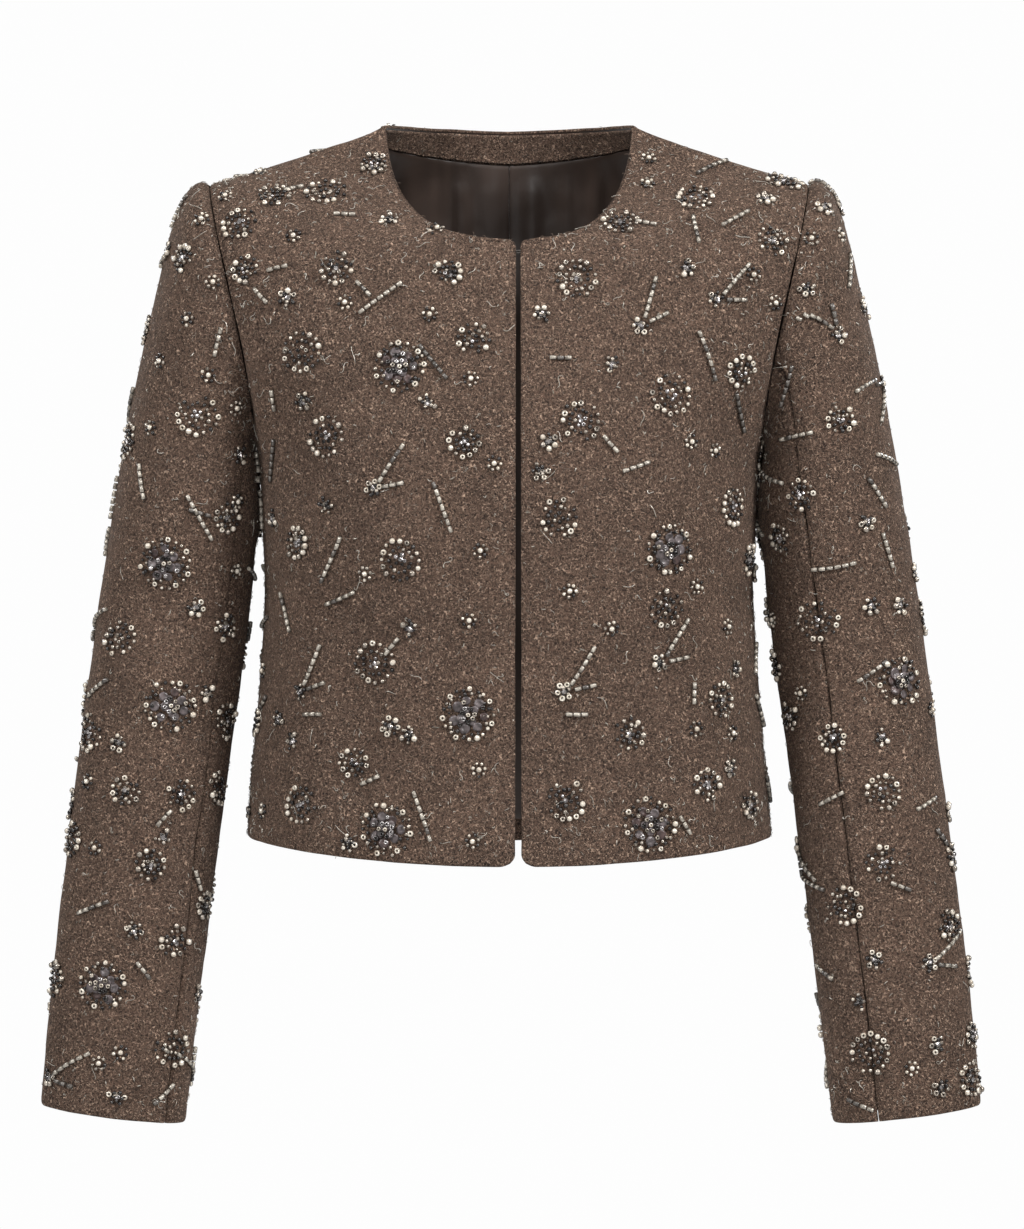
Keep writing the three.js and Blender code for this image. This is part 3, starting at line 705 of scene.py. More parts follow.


# Three layers of short curls over a dark ground, partly the wool's own dark fibre and partly painted shade
# in the low places between the curls, with a sparse metallic thread on top
def boucleMaterial():
    material, tree, place, tone = tonedMaterial("boucle", boucle["toneScale"], boucle)

    def curls(shift, scale, width):
        return useGroup(tree, curlyFibre, Place=place, Shift=shift, Scale=scale, Width=width)["Line"]

    scale, width = boucle["curlScale"], boucle["curlWidth"]
    layers = [curls(shift, scale * share, width) for shift, share in boucle["curlLayers"]]
    thread = curls(boucle["threadShift"], boucle["threadScale"], boucle["threadWidth"])
    grain = noiseValue(tree, place, boucle["grainScale"], 1.0)
    # The colour starts from the dark ground, partly painted shade, which shows where the grain is low and no
    # curl lies
    coloured = boucle["darkGroundAndShade"]
    colours = [tone["Color"], tone["Color"], boucle["middle"], boucle["curl"]]
    for value, cover, colour in zip([grain] + layers, boucle["covers"], colours):
        coloured = blendColours(tree, rescale(tree, value, *cover), coloured, colour)
    threadFrom = boucle["threadFrom"]
    sparse = rescale(tree, noiseValue(tree, place, 190.0, 0.5), threadFrom, threadFrom + 0.05)
    metal = calculate(tree, "MULTIPLY", rescale(tree, thread, 0.2, 0.6), sparse)
    height = calculate(tree, "MAXIMUM", layers[0], calculate(tree, "MAXIMUM", layers[1], layers[2]))
    height = calculate(tree, "ADD", height, calculate(tree, "MULTIPLY", grain, 0.8))
    paint(tree, {
        "Base Color": blendColours(tree, metal, coloured, boucle["thread"]),
        "Metallic": calculate(tree, "MULTIPLY", metal, 0.6),
        "Roughness": rescale(tree, metal, 0.0, 1.0, 0.92, 0.42),
        "Specular IOR Level": 0.25,
        "Sheen Weight": 0.12,
        "Sheen Roughness": 0.6,
        "Sheen Tint": boucle["sheen"],
        "Normal": bump(tree, height, 0.9, boucle["bumpDepth"]),
    })
    return material


satin = {
    "low": (0.029, 0.0175, 0.0125, 1),
    "high": (0.055, 0.035, 0.0265, 1),
    "roughness": (0.42, 0.48),
    "weaveScale": 2600.0,
    "rippleScale": 70.0,
}


def satinMaterial():
    material, tree, place, tone = tonedMaterial("liningSatin", 22.0, satin)
    weave = calculate(tree, "MULTIPLY", noiseValue(tree, place, satin["weaveScale"], 0.0), 0.12)
    height = calculate(tree, "ADD", weave, noiseValue(tree, place, satin["rippleScale"], 2.0))
    paint(tree, {
        "Base Color": tone["Color"],
        "Roughness": rescale(tree, tone["Value"], 0.0, 1.0, *satin["roughness"]),
        "Sheen Weight": 0.3,
        "Sheen Roughness": 0.4,
        "Normal": bump(tree, height, 0.5, 0.0006),
    })
    return material


# The rim value is painted shade: how far a bead's colour darkens where it turns away from the eye
beadFinishes = table("name low high metallic roughness coat rim", [
    ("beadSilver", (0.17, 0.140, 0.112, 1), (0.66, 0.58, 0.49, 1), 0.7, 0.25, 0.5, 0.95),
    ("beadPearl", (0.50, 0.415, 0.32, 1), (0.95, 0.87, 0.75, 1), 0.25, 0.25, 0.9, 0.95),
    ("beadGunmetal", (0.012, 0.010, 0.010, 1), (0.10, 0.09, 0.085, 1), 0.8, 0.22, 0.5, 0.5),
    ("beadCrystal", (0.24, 0.22, 0.215, 1), (0.76, 0.71, 0.70, 1), 0.7, 0.14, 1.0, 0.6),
    ("bugleTaupe", (0.20, 0.172, 0.14, 1), (0.66, 0.60, 0.51, 1), 0.3, 0.28, 0.6, 0.95),
    ("bugleDark", (0.060, 0.051, 0.044, 1), (0.19, 0.168, 0.147, 1), 0.3, 0.3, 0.6, 0.9),
    ("sequinLilac", (0.050, 0.041, 0.040, 1), (0.185, 0.150, 0.150, 1), 0.2, 0.42, 0.2, 0.6),
    ("sequinWine", (0.034, 0.022, 0.020, 1), (0.125, 0.080, 0.073, 1), 0.2, 0.42, 0.2, 0.6),
])
# The dark colour below is painted shade, which each bead's edge darkens to
beadGlazeAndRimShade = {"toneScale": 330.0, "rimShadeColour": (0.012, 0.009, 0.007, 1), "drift": 0.1, "coatRoughness": 0.05}


def beadMaterial(finish):
    material, tree, _, tone = tonedMaterial(finish["name"], beadGlazeAndRimShade["toneScale"], finish)
    # Painted shade: the base colour runs to the dark colour where the bead turns away from the eye
    away = node(tree, "ShaderNodeLayerWeight", {"Blend": 0.5}).outputs["Facing"]
    rim = rescale(tree, away, 0.35, 0.85, 0.0, finish["rim"])
    rough = finish["roughness"]
    paint(tree, {
        "Base Color": blendColours(tree, rim, tone["Color"], beadGlazeAndRimShade["rimShadeColour"]),
        "Roughness": rescale(tree, tone["Value"], 0.0, 1.0, rough + beadGlazeAndRimShade["drift"], rough),
        "Metallic": finish["metallic"],
        "Coat Weight": finish["coat"],
        "Coat Roughness": beadGlazeAndRimShade["coatRoughness"],
    })
    return material


boucleCloth = boucleMaterial()
liningSatin = satinMaterial()
outerLooks = [boucleCloth, liningSatin]  # of a panel's outer face and turned edges, and of its lined inside
beadMaterials = {finish["name"]: beadMaterial(finish) for finish in beadFinishes}
print("materials made:", len(bpy.data.materials))


# The cloth pieces

def finishPiece(piece, nodes=()):
    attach(piece, "root")
    if nodes:
        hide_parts(*nodes)


# A sheet rides on the root and hides its solid in the frame. A form's cut is the sheet's flat width and
# length, in metres
def finishSheet(piece, solid):
    finishPiece(piece, [solid])


# How far the outer cloth is turned in at each edge
insideCloth = {"frontFacing": 55, "neckFacing": 25, "fade": 40, "hemTurn": 17, "cuffTurn": 30}


def cellMask(distance, limit):
    return distance[:-1, :-1] < limit


def makeFront(side):
    points = frontGrid(side == "right")
    distance = sides(points)
    edge, seam = ("right", "left") if side == "right" else ("left", "right")
    rise = ease((points[..., 2] + neck["frontDrop"]) / insideCloth["fade"] + 1)
    turnedIn = mix(insideCloth["frontFacing"], insideCloth["neckFacing"], rise)
    inside = cellMask(distance[edge] - turnedIn, 0) | cellMask(distance["foot"], insideCloth["hemTurn"])
    piece = clothShell("frontPanel_" + side, points, cloth["wall"], outerLooks, inside, (seam, "top"))
    finishSheet(piece, "front_" + side)
    return points


def makeBack():
    points = backGrid()
    inside = cellMask(sides(points)["foot"], insideCloth["hemTurn"])
    piece = clothShell("backPanel", points, cloth["wall"], outerLooks, inside, ("left", "right"))
    finishSheet(piece, "back")
    return points


def makeSleeve(side):
    front, back = sleeveForm["frontSeam"][side], sleeveForm["backSeam"]
    mirrored = side == "right"
    for panel, start, end in (("top", back - 360, front), ("under", front, back)):
        places = gradedPlaces(round((end - start) / sleeveForm["panelStep"]), 0.5)
        turns = [mix(start, end, t) for t in places]
        points = sleeveGrid(turns, mirrored, left="pressed", right="pressed", foot="seam", top="free")
        inside = cellMask(sides(points)["top"], insideCloth["cuffTurn"])
        closed = ("left", "right", "foot")
        piece = clothShell(f"sleevePanel_{side}_{panel}", points, cloth["wall"], outerLooks, inside, closed)
        finishSheet(piece, f"sleeve_{side}_{panel}")
    count = sleeveForm["aroundColumns"]
    return sleeveGrid([360 * i / count for i in range(count + 1)], mirrored, foot="seam", top="free")


# How far below the top edge a width of cloth lies, as a share of the back's top span
def topShare(s, width):
    low, top = backPoint(abs(s), 2), backPoint(abs(s), 3)
    return width / ((top - low).length * backForm["bulge"])


# Points on the inside of the back. rowsOf gives a column's places up it, and depthOf how far below its
# outer face they lie
def insideBack(columns, rowsOf, depthOf):
    rows = {s: rowsOf(s) for s in columns}
    count = len(rows[columns[0]])
    points = np.array([[tuple(backPoint(s, rows[s][r])) for s in columns] for r in range(count)])
    base = bodyFoldHeights(points, "back", np.array(columns)) + lumpHeights(points)
    return raised(points, base - depthOf(points))


# These pieces face inwards, so their grids are turned over
def makeInside(name, points, wall, look, solid):
    piece = clothShell(name, raised(points, -wall)[:, ::-1], wall, [look])
    finishSheet(piece, solid)


facing = {
    "width": 25,
    "roll": 2.4,     # the band starts this far below the edge of the neck
    "wall": 1.6,
    "gap": 0.6,
    "reach": 0.985,  # share of the neckline that it runs along
    "columns": 72,
    "rows": 12,
    "pressed": 0.5,  # its edges stand off the outer cloth by this share of a seam's depth
    "cut": (0.23, 0.026),
}


def makeNeckFacing():
    count = facing["columns"]
    columns = [neck["share"] * facing["reach"] * (1 - 2 * i / count) for i in range(count + 1)]
    widths = [mix(facing["width"], facing["roll"], t) for t in gradedPlaces(facing["rows"])]
    depth = cloth["wall"] + facing["gap"]
    points = insideBack(columns, lambda s: [3 - topShare(s, w) for w in widths], lambda p: depth)
    edges = edgeHeights(points, left="seam", right="seam", foot="seam", top="seam")
    points = raised(points, edges * facing["pressed"])
    makeInside("neckFacingBand", points, facing["wall"], boucleCloth, "neck_facing")


lining = {
    "wall": 0.9,
    "gap": 1.0,
    "rise": 16,         # it stops this far above the hem
    "sideGap": 1.4,     # and this far inside the side seams
    "facingGap": 0.4,
    "middleGap": 0.15,
    "middleWidth": 170,  # the back's half width, which the gap at the middle seam is measured on
    "columns": 96,
    "rows": 84,
    "pressed": -0.35,   # its edges likewise, here towards the outer cloth
    "cut": (0.25, 0.47),
    "foldStart": 14,    # the folds deepen over this length
    "gatherDepth": 0.7,
    "gatherLength": 34,
    "gatherTop": -18,
    "gatherSize": 1.9,  # of the gathers' waves, and of the slower one that shifts them
    "driftSize": 7.3,
    "drift": 1.3,
}

# Soft folds of the lining, which hang from the facing
liningFolds = table("x width depth top fade lean", [
    (-74, 7, 2.6, -18, 190, 0.03),
    (-58, 9, 2.0, -18, 260, -0.02),
    (-33, 6, 2.4, -22, 170, 0.02),
    (-13, 8, 1.6, -22, 240, 0.01),
    (17, 7, 2.6, -22, 210, -0.02),
    (39, 9, 2.0, -22, 280, 0.02),
    (61, 6, 2.8, -18, 180, -0.03),
    (79, 8, 2.0, -18, 230, 0.02),
    (108, 11, 2.4, -40, 300, 0.03),
    (-112, 12, 2.4, -40, 320, -0.03),
])


def liningDepths(points):
    x, z = points[..., 0], points[..., 2]
    depths = np.full(points.shape[:2], cloth["wall"] + lining["gap"])
    for fold in liningFolds:
        below = np.clip(fold["top"] - z, 0, None)
        middle = fold["x"] + fold["lean"] * below
        fade = np.clip(below / lining["foldStart"], 0, 1) * np.exp(-(below / fold["fade"]) ** 2)
        depths += fold["depth"] * fade * np.exp(-((x - middle) / fold["width"]) ** 2)
    below = np.clip(lining["gatherTop"] - z, 0, None)
    drift = lining["drift"] * np.sin(x / lining["driftSize"])
    gathers = 0.5 + 0.5 * np.sin(x / lining["gatherSize"] + drift)
    return depths + lining["gatherDepth"] * gathers * np.exp(-(below / lining["gatherLength"]) ** 2)


def liningRows(s):
    lower, middle, top = backForm["spans"]
    end = lower + middle + (1 - topShare(s, facing["width"] + lining["facingGap"])) * top
    return [backPlace(mix(lining["rise"], end, t)) for t in gradedPlaces(lining["rows"], 0.4)]


def makeLining(side):
    outer, middle = 1 - lining["sideGap"] / frontForm["width"], lining["middleGap"] / lining["middleWidth"]
    columns = [mix(outer, middle, i / lining["columns"]) for i in range(lining["columns"] + 1)]
    if side == "right":
        columns = [-s for s in columns[::-1]]
    points = insideBack(columns, liningRows, liningDepths)
    edges = edgeHeights(points, left="seam", right="seam", top="seam")
    points = raised(points, edges * lining["pressed"])
    makeInside("liningPanel_" + side, points, lining["wall"], liningSatin,
               "lining_back_" + side)


surfaces = {
    "front_right": makeFront("right"),
    "front_left": makeFront("left"),
    "back": makeBack(),
    "sleeve_right": makeSleeve("right"),
    "sleeve_left": makeSleeve("left"),
}
surfaceNormals = {name: gridNormals(points) for name, points in surfaces.items()}
makeNeckFacing()
makeLining("right")
makeLining("left")
print("facing and lining made")


# Places on a surface, by row and column numbers that may lie between its points
def sampleSurface(name, r, c):
    points, normals = surfaces[name], surfaceNormals[name]
    rows, columns = points.shape[:2]
    margin = 1
    if name.startswith("sleeve"):  # its columns run all the way round
        c, margin = np.mod(c, columns - 1), 0
    onCloth = (r >= 1) & (r <= rows - 2) & (c >= margin) & (c <= columns - 1 - margin)
    r, c = np.clip(r, 0, rows - 1.001), np.clip(c, 0, columns - 1.001)
    r0, c0 = r.astype(int), c.astype(int)
    fr, fc = (r - r0)[..., None], (c - c0)[..., None]

    def between(grid):
        low = grid[r0, c0] * (1 - fc) + grid[r0, c0 + 1] * fc
        high = grid[r0 + 1, c0] * (1 - fc) + grid[r0 + 1, c0 + 1] * fc
        return low * (1 - fr) + high * fr

    return between(points), unit(between(normals)), onCloth


# Directions turned into the plane of the cloth
def alongCloth(direction, normal):
    return unit(direction - normal * (direction * normal).sum(axis=-1, keepdims=True))


# Lays flat places, in millimetres round a middle, on the cloth: gives their points, normals and headings.
# A turn of 0 points to the wearer's left.
def layOn(name, row, column, turn, flat):
    near, normals, _ = sampleSurface(name, row + np.array([0, 0, 0.5]), column + np.array([0, 0.5, 0]))
    middle, n = near[0], normals[0]
    level = np.array([1.0, 0, 0]) if abs(n[0]) < 0.93 else np.array([0, 1.0, 0])
    first = alongCloth(level, n)
    along = first * math.cos(turn) + np.cross(n, first) * math.sin(turn)
    steps = flat[:, :1] * along + flat[:, 1:] * np.cross(n, along)
    solve = np.linalg.pinv(np.stack([near[1] - middle, near[2] - middle], axis=1) * 2)
    moves = solve @ steps.T
    for _ in range(4):  # the grid's spacing changes from place to place
        points, _, _ = sampleSurface(name, row + moves[1], column + moves[0])
        moves = moves + solve @ (steps - (points - middle)).T
    points, normals, onCloth = sampleSurface(name, row + moves[1], column + moves[0])
    return points, normals, along, onCloth


# Bead forms: one unit is the bead's radius, its base lies at height 0 and it points along X

def ringForm(outer, profile, thickness):
    a, b = np.meshgrid(*(2 * math.pi * np.arange(n) / n for n in (outer, profile)), indexing="ij")
    reach = 1 - thickness + thickness * np.cos(b)
    vertices = np.stack([reach * np.cos(a), reach * np.sin(a), 0.55 + 0.55 * np.sin(b)], axis=-1)
    index = np.pad(np.arange(outer * profile).reshape(outer, profile), ((0, 1), (0, 1)), mode="wrap")
    return vertices.reshape(-1, 3), halved(quadFaces(index, (0, 3, 2, 1)))


# A closed form turned round the Z axis, from rings of (radius, height); a ring of radius 0 is a tip
def turnedForm(profile, around):
    vertices, triangles, starts = [], [], []
    for radius, height in profile:
        starts.append(len(vertices))
        turns = [2 * math.pi * i / around for i in range(around if radius else 1)]
        vertices += [(radius * math.cos(a), radius * math.sin(a), height) for a in turns]
    for k in range(len(profile) - 1):
        low, high = starts[k], starts[k + 1]
        for i in range(around):
            j = (i + 1) % around
            if profile[k][0] == 0:
                triangles.append((low, high + j, high + i))
            elif profile[k + 1][0] == 0:
                triangles.append((low + i, low + j, high))
            else:
                triangles += [(low + i, low + j, high + j), (low + i, high + j, high + i)]
    return np.array(vertices), np.array(triangles)


def lyingForm(vertices, triangles, lift):
    return np.stack([vertices[:, 2], vertices[:, 1], lift - vertices[:, 0]], axis=1), triangles


bugleProfile = [(0, -1.0), (0.6, -1.5), (1, -1.38), (1, 1.38), (0.6, 1.5), (0, 1.0)]
beadForms = {
    "ring": ringForm(8, 4, 0.41),
    "round": turnedForm([(0, 0), (0.8, 0.3), (1, 0.85), (0.72, 1.45), (0, 1.7)], 7),
    "crystal": turnedForm([(0, 0), (0.9, 0.2), (1, 0.6), (0.55, 1.1), (0, 1.15)], 8),
    "sequin": turnedForm([(0, 0.12), (0.5, 0.1), (1, 0.28), (1, 0.34), (0.5, 0.2), (0, 0.2)], 9),
    "bugle": lyingForm(*turnedForm(bugleProfile, 8), 1.0),
}
sequinTilt = 0.22
laidBeads = []  # each bead as its motif gives it, with its surface, point, normal and heading

random = np.random.default_rng(41)


def pick(options):
    return options if isinstance(options, str) else options[int(random.integers(len(options)))]


def jitter(amount):
    return float(random.uniform(-amount, amount))


def layBeads(name, row, column, turn, motif):
    flat = np.array([(item["u"], item["v"]) for item in motif], dtype=float)
    points, normals, along, onCloth = layOn(name, row, column, turn, flat)
    for item, point, normal, fits in zip(motif, points, normals, onCloth):
        if not fits:
            continue
        heading = along * math.cos(item["spin"]) + np.cross(normal, along) * math.sin(item["spin"])
        if item["form"] == "sequin":  # each lies at its own small angle
            normal = unit(normal + along * jitter(sequinTilt) + np.array([0, 0, jitter(sequinTilt)]))
        laidBeads.append(dict(item, surface=name, point=point, normal=normal, heading=heading))


# Makes one piece of the beads that lie on a surface and have one of the wanted finishes
def pourBeads(pieceName, surfaceName, wanted):
    names = sorted(wanted)
    vertices, triangles, finishes, smooth = [], [], [], []
    count = 0
    for form, (shape, faces) in beadForms.items():
        chosen = [item for item in laidBeads if item["form"] == form and item["surface"] == surfaceName
                  and item["finish"] in wanted]
        if not chosen:
            continue
        keys = ("point", "normal", "heading", "size", "lift")
        point, n, heading, size, lift = (np.array([item[key] for item in chosen]) for key in keys)
        x = alongCloth(heading, n)
        placed = shape @ np.stack([x, np.cross(n, x), n], axis=1) * size[:, None, None]
        placed += (point + n * lift[:, None])[:, None]
        vertices.append(placed.reshape(-1, 3))
        starts = count + len(shape) * np.arange(len(chosen))
        triangles.append((faces + starts[:, None, None]).reshape(-1, 3))
        finishes.append(np.repeat([names.index(item["finish"]) for item in chosen], len(faces)))
        smooth.append(np.full(len(chosen) * len(faces), form != "crystal"))
        count += len(chosen) * len(shape)
    if count == 0:
        return None
    return newMesh(pieceName, np.concatenate(vertices), np.concatenate(triangles),
                   [beadMaterials[name] for name in names], np.concatenate(finishes), np.concatenate(smooth))


# Motifs are lists of beads, each with its place, form, finish, size, spin and height off the cloth

def bead(u, v, form, finish, size, spin=0.0, lift=-0.15):
    return {"u": u, "v": v, "form": form, "finish": finish, "size": size, "spin": spin, "lift": lift}


# A bead shaken from its place and size; where form or finish is a list, one is picked
def loose(u, v, shake, form, finish, size, sizeShake, lift=-0.15):
    u, v = u + jitter(shake), v + jitter(shake)
    form, finish = pick(form), pick(finish)
    return bead(u, v, form, finish, size + jitter(sizeShake), lift=lift)


def circle(count, radius, start=0.0):
    for i in range(count):
        a = start + 2 * math.pi * i / count
        yield i, radius * math.cos(a), radius * math.sin(a)


def looseRing(count, radius, start, *look, lift=-0.15):
    return [loose(u, v, *look, lift=lift) for _, u, v in circle(count, radius, start)]


def moved(motif, u, v):
    return [dict(item, u=item["u"] + u, v=item["v"] + v) for item in motif]


paleOrDark = ["beadSilver", "beadSilver", "beadPearl", "beadGunmetal", "beadGunmetal"]
mostlyDark = ["beadGunmetal", "beadGunmetal", "beadSilver"]
rimSpacing = 4.9
innerSpacing = 3.6


# A small daisy: a pale middle with a ring of little beads
def daisy():
    petals = looseRing(7, 4.1, jitter(0.4), 0.3, "round", paleOrDark, 1.3, 0.15)
    return [bead(0, 0, "round", "beadPearl", 2.0)] + petals


# A wheel: spaced pale beads round the rim, dark ones within, and a bright cluster in the middle
def wheel(radius, broken=0.12):
    motif, start, squash = [], jitter(1.0), 1 + jitter(0.08)
    for _, u, v in circle(round(2 * math.pi * radius / rimSpacing), radius, start):
        if random.random() < broken:
            continue
        far = 1 + jitter(0.07)
        large = random.random() < 0.48
        form = "ring" if large and random.random() < 0.6 else "round"
        size = (2.15 if large else 1.4) + jitter(0.2)
        finish = pick(["beadPearl", "beadPearl", "beadSilver"] if large else paleOrDark)
        motif.append(bead(u * far * squash, v * far, form, finish, size))
    inner = radius * 0.62
    for _, u, v in circle(max(5, int(2 * math.pi * inner / innerSpacing)), inner, start + 0.3):
        motif.append(loose(u * squash, v, 0.7, "round", pick(mostlyDark), 1.35, 0.35))
    finishes = ["beadCrystal", "beadGunmetal", "beadSilver"]
    motif += looseRing(5, radius * 0.26, start, 0.4, ["ring", "round", "crystal"], finishes, 1.4, 0.25)
    if random.random() < 0.6:
        motif.append(bead(jitter(0.5), jitter(0.5), "crystal", "beadCrystal", 1.7, lift=0.3))
    return motif


# The largest rosette: sequins that overlap among dark beads, under rings, inside a spaced rim
def rosette(radius):
    motif, start = [], jitter(1.0)
    for i, u, v in circle(round(2 * math.pi * radius / rimSpacing), radius, start):
        if i % 3 == 0:
            motif.append(loose(u, v, 0.6, pick(["ring", "ring", "round"]), "beadPearl", 2.1, 0.25))
        else:
            motif.append(loose(u, v, 1.0, "round", paleOrDark, 1.3, 0.3))
    for i, u, v in circle(7, radius * 0.56, start + 0.2):
        finish = pick(["sequinLilac", "sequinLilac", "sequinWine"])
        motif.append(loose(u, v, 1.3, "sequin", finish, 3.3, 0.5, 0.1 + 0.3 * (i % 2)))
    motif += looseRing(4, radius * 0.27, start, 0.8, "sequin", "sequinLilac", 2.9, 0.4, lift=0.8)
    for _, u, v in circle(18, radius * 0.8, start + 0.1):
        if random.random() < 0.85:
            motif.append(loose(u, v, 1.2, "round", pick(mostlyDark), 1.25, 0.3, 0.3))
    finishes = ["beadSilver", "beadGunmetal", "beadCrystal"]
    for _, u, v in circle(9, radius * 0.55, start + 0.5):
        if random.random() < 0.55:
            motif.append(loose(u, v, 1.4, ["ring", "ring", "round"], finishes, 1.75, 0.3, 0.8))
    finishes = ["beadSilver", "beadCrystal", "beadGunmetal"]
    motif += looseRing(7, radius * 0.26, start + 0.5, 0.5, "ring", finishes, 1.8, 0.2, lift=1.3)
    return motif + [bead(0, 0, "ring", "beadPearl", 1.7, lift=1.7)]


bugle = {"length": 5.0, "size": 1.42, "shake": 0.05, "darkShare": 0.12}
bugleFinishes = ["bugleTaupe", "bugleDark"]


# A run of bugles laid end to end; bend is in degrees from end to end
def bar(count, bend=0.0, finish="bugleTaupe", start=(0.0, 0.0), heading=0.0):
    motif, place, turn = [], np.array(start), heading - math.radians(bend) / 2
    for _ in range(count):
        half = bugle["length"] / 2 * np.array([math.cos(turn), math.sin(turn)])
        place = place + half
        dark = finish == "bugleDark" or random.random() < bugle["darkShare"]
        size = bugle["size"] + jitter(bugle["shake"])
        spin = turn + jitter(bugle["shake"])
        motif.append(bead(*place, "bugle", "bugleDark" if dark else finish, size, spin))
        place = place + half
        turn += math.radians(bend) / max(1, count - 1)
    return motif


def centredBar(count, finish="bugleTaupe"):
    motif = bar(count, jitter(7), finish)
    return moved(motif, *(-sum(item[key] for item in motif) / len(motif) for key in "uv"))


# Two bars that spread from a small cluster
def vee():
    motif = wheel(4.6)
    motif += bar(6, jitter(8), "bugleTaupe", (4.0, 3.6), math.radians(56))
    return motif + bar(3, 0, pick(bugleFinishes), (6.2, 0.8), math.radians(10))


# A wheel with a short bar for a stem
def stemmed():
    return wheel(9.0) + bar(3, jitter(10), pick(bugleFinishes), (10.0, -6.0), math.radians(-42))


def pair():
    return wheel(5.2) + moved(wheel(5.0), 12.5, -5.0)


# How far each kind of motif reaches from its middle, and what makes it
motifKinds = {
    "large": (18, lambda: rosette(15.8 + jitter(1.2))),
    "wide": (15, lambda: wheel(12.2)),
    "medium": (12, lambda: wheel(pick([8.4, 9.4, 10.6, 11.4]))),
    "small": (6, lambda: daisy() if random.random() < 0.6 else wheel(5.0, 0.2)),
    "short": (7, lambda: centredBar(3)),
    "bar": (11, lambda: centredBar(pick([4, 5, 6]))),
    "long": (15, lambda: centredBar(7)),
    "dark": (13, lambda: centredBar(6, "bugleDark")),
    "vee": (17, vee),
    "stemmed": (17, stemmed),
    "pair": (13, pair),
}

# Where the main motifs lie on the fronts and the sleeves: x, z, kind and turn in degrees
mainMotifs = {
    "front_right": [
        (-155, -52, "medium", 0), (-141, -46, "short", 25), (-120, -48, "wide", 0), (-89, -30, "medium", 0),
        (-108, -66, "short", -3), (-79, -70, "small", 0), (-171, -103, "medium", 0),
        (-151, -101, "short", 8), (-160, -121, "short", -46), (-143, -122, "small", 0),
        (-110, -103, "medium", 0), (-95, -115, "short", -48), (-84, -124, "long", 35),
        (-41, -107, "medium", 0), (-135, -156, "wide", 0), (-132, -188, "small", 0),
        (-153, -188, "short", -80), (-72, -166, "large", 0), (-51, -165, "dark", -52),
        (-21, -152, "medium", 0), (-119, -215, "wide", 0), (-155, -226, "dark", 80),
        (-29, -214, "medium", 0), (-9, -230, "small", 0), (-86, -246, "vee", 0), (-42, -259, "long", -70),
        (-138, -279, "medium", 0), (-117, -290, "long", 62), (-71, -292, "wide", 0),
        (-18, -288, "small", 0), (-108, -318, "bar", 25), (-24, -332, "small", 0), (-86, -357, "wide", 0),
        (-62, -334, "small", 0), (-76, -345, "short", 50), (-136, -375, "vee", 8), (-127, -392, "short", 0),
        (-27, -393, "large", 0), (-103, -424, "medium", 0), (-76, -401, "pair", 0),
        (-88, -433, "short", 22), (-19, -427, "small", 0), (-137, -451, "medium", 0),
        (-162, -456, "small", 0), (-54, -456, "long", -70), (-79, -465, "large", 0),
        (-22, -472, "small", 0),
    ],
    "front_left": [
        (92, -25, "small", 0), (124, -53, "wide", 0), (168, -54, "small", 0), (173, -82, "medium", 0),
        (73, -71, "medium", 0), (89, -72, "short", -15), (45, -110, "wide", 0), (20, -137, "small", 0),
        (86, -139, "vee", 18), (116, -102, "small", 0), (135, -124, "vee", -6), (34, -163, "short", 0),
        (67, -165, "small", 0), (128, -159, "long", -70), (105, -184, "wide", 0), (150, -171, "medium", 0),
        (149, -196, "dark", -75), (45, -202, "wide", 0), (65, -215, "short", -48), (26, -216, "small", 0),
        (80, -233, "bar", 20), (134, -218, "small", 0), (33, -266, "medium", 0), (105, -284, "large", 0),
        (145, -259, "medium", 0), (40, -310, "small", 0), (65, -334, "small", 0), (34, -374, "vee", 2),
        (97, -357, "vee", 0), (143, -334, "small", 0), (42, -392, "short", 0), (78, -404, "medium", 0),
        (137, -383, "medium", 0), (121, -377, "short", 88), (119, -400, "small", 0), (37, -446, "wide", 0),
        (126, -438, "medium", 0), (90, -463, "large", 0), (112, -464, "short", -58),
        (157, -453, "medium", 0),
    ],
    "sleeve_right": [
        (-214, -92, "medium", 0), (-210, -134, "small", 0), (-205, -198, "wide", 0),
        (-178, -252, "small", 0), (-204, -264, "long", -62), (-184, -264, "stemmed", 200),
        (-226, -294, "large", 0), (-188, -338, "medium", 0), (-255, -340, "medium", 0),
        (-221, -388, "large", 0), (-250, -438, "medium", 0), (-233, -487, "medium", 0),
        (-272, -516, "bar", 18), (-218, -538, "medium", 0), (-264, -568, "large", 0),
        (-238, -560, "short", -52), (-268, -620, "small", 0), (-220, -612, "medium", 0),
    ],
    "sleeve_left": [
        (214, -142, "vee", 96), (181, -178, "dark", 75), (217, -198, "medium", 0), (192, -250, "medium", 0),
        (248, -286, "bar", -68), (201, -328, "wide", 0), (238, -322, "small", 0), (258, -372, "large", 0),
        (237, -362, "bar", 35), (211, -406, "medium", 0), (246, -447, "medium", 0),
        (218, -514, "medium", 0), (243, -491, "medium", 0), (257, -503, "short", -20),
        (289, -528, "medium", 0), (238, -551, "small", 0), (276, -558, "vee", -14), (229, -580, "small", 0),
        (236, -615, "wide", 0), (279, -608, "small", 0), (303, -632, "medium", 0),
    ],
}

scatter = {
    "tries": 640,
    "frontTries": 160,
    "large": {"back": 11, "sleeve_right": 2, "sleeve_left": 2},
    "largeWithin": 0.2,  # large motifs come within this share of the tries
    "earlyWithin": 0.3,  # and the early kinds within this one
    "early": ["medium", "stemmed", "vee", "bar"],
    "late": ["small", "bar", "medium", "small"],
    "room": 5.0,
    "edgeRoom": 1.5,
}


# How far each point of a surface lies from the nearest open edge or seam
def roomOf(name):
    d = sides(surfaces[name])
    edges = ["foot", "top"] if name.startswith("sleeve") else ["foot", "top", "left", "right"]
    return np.min([d[edge] for edge in edges], axis=0)


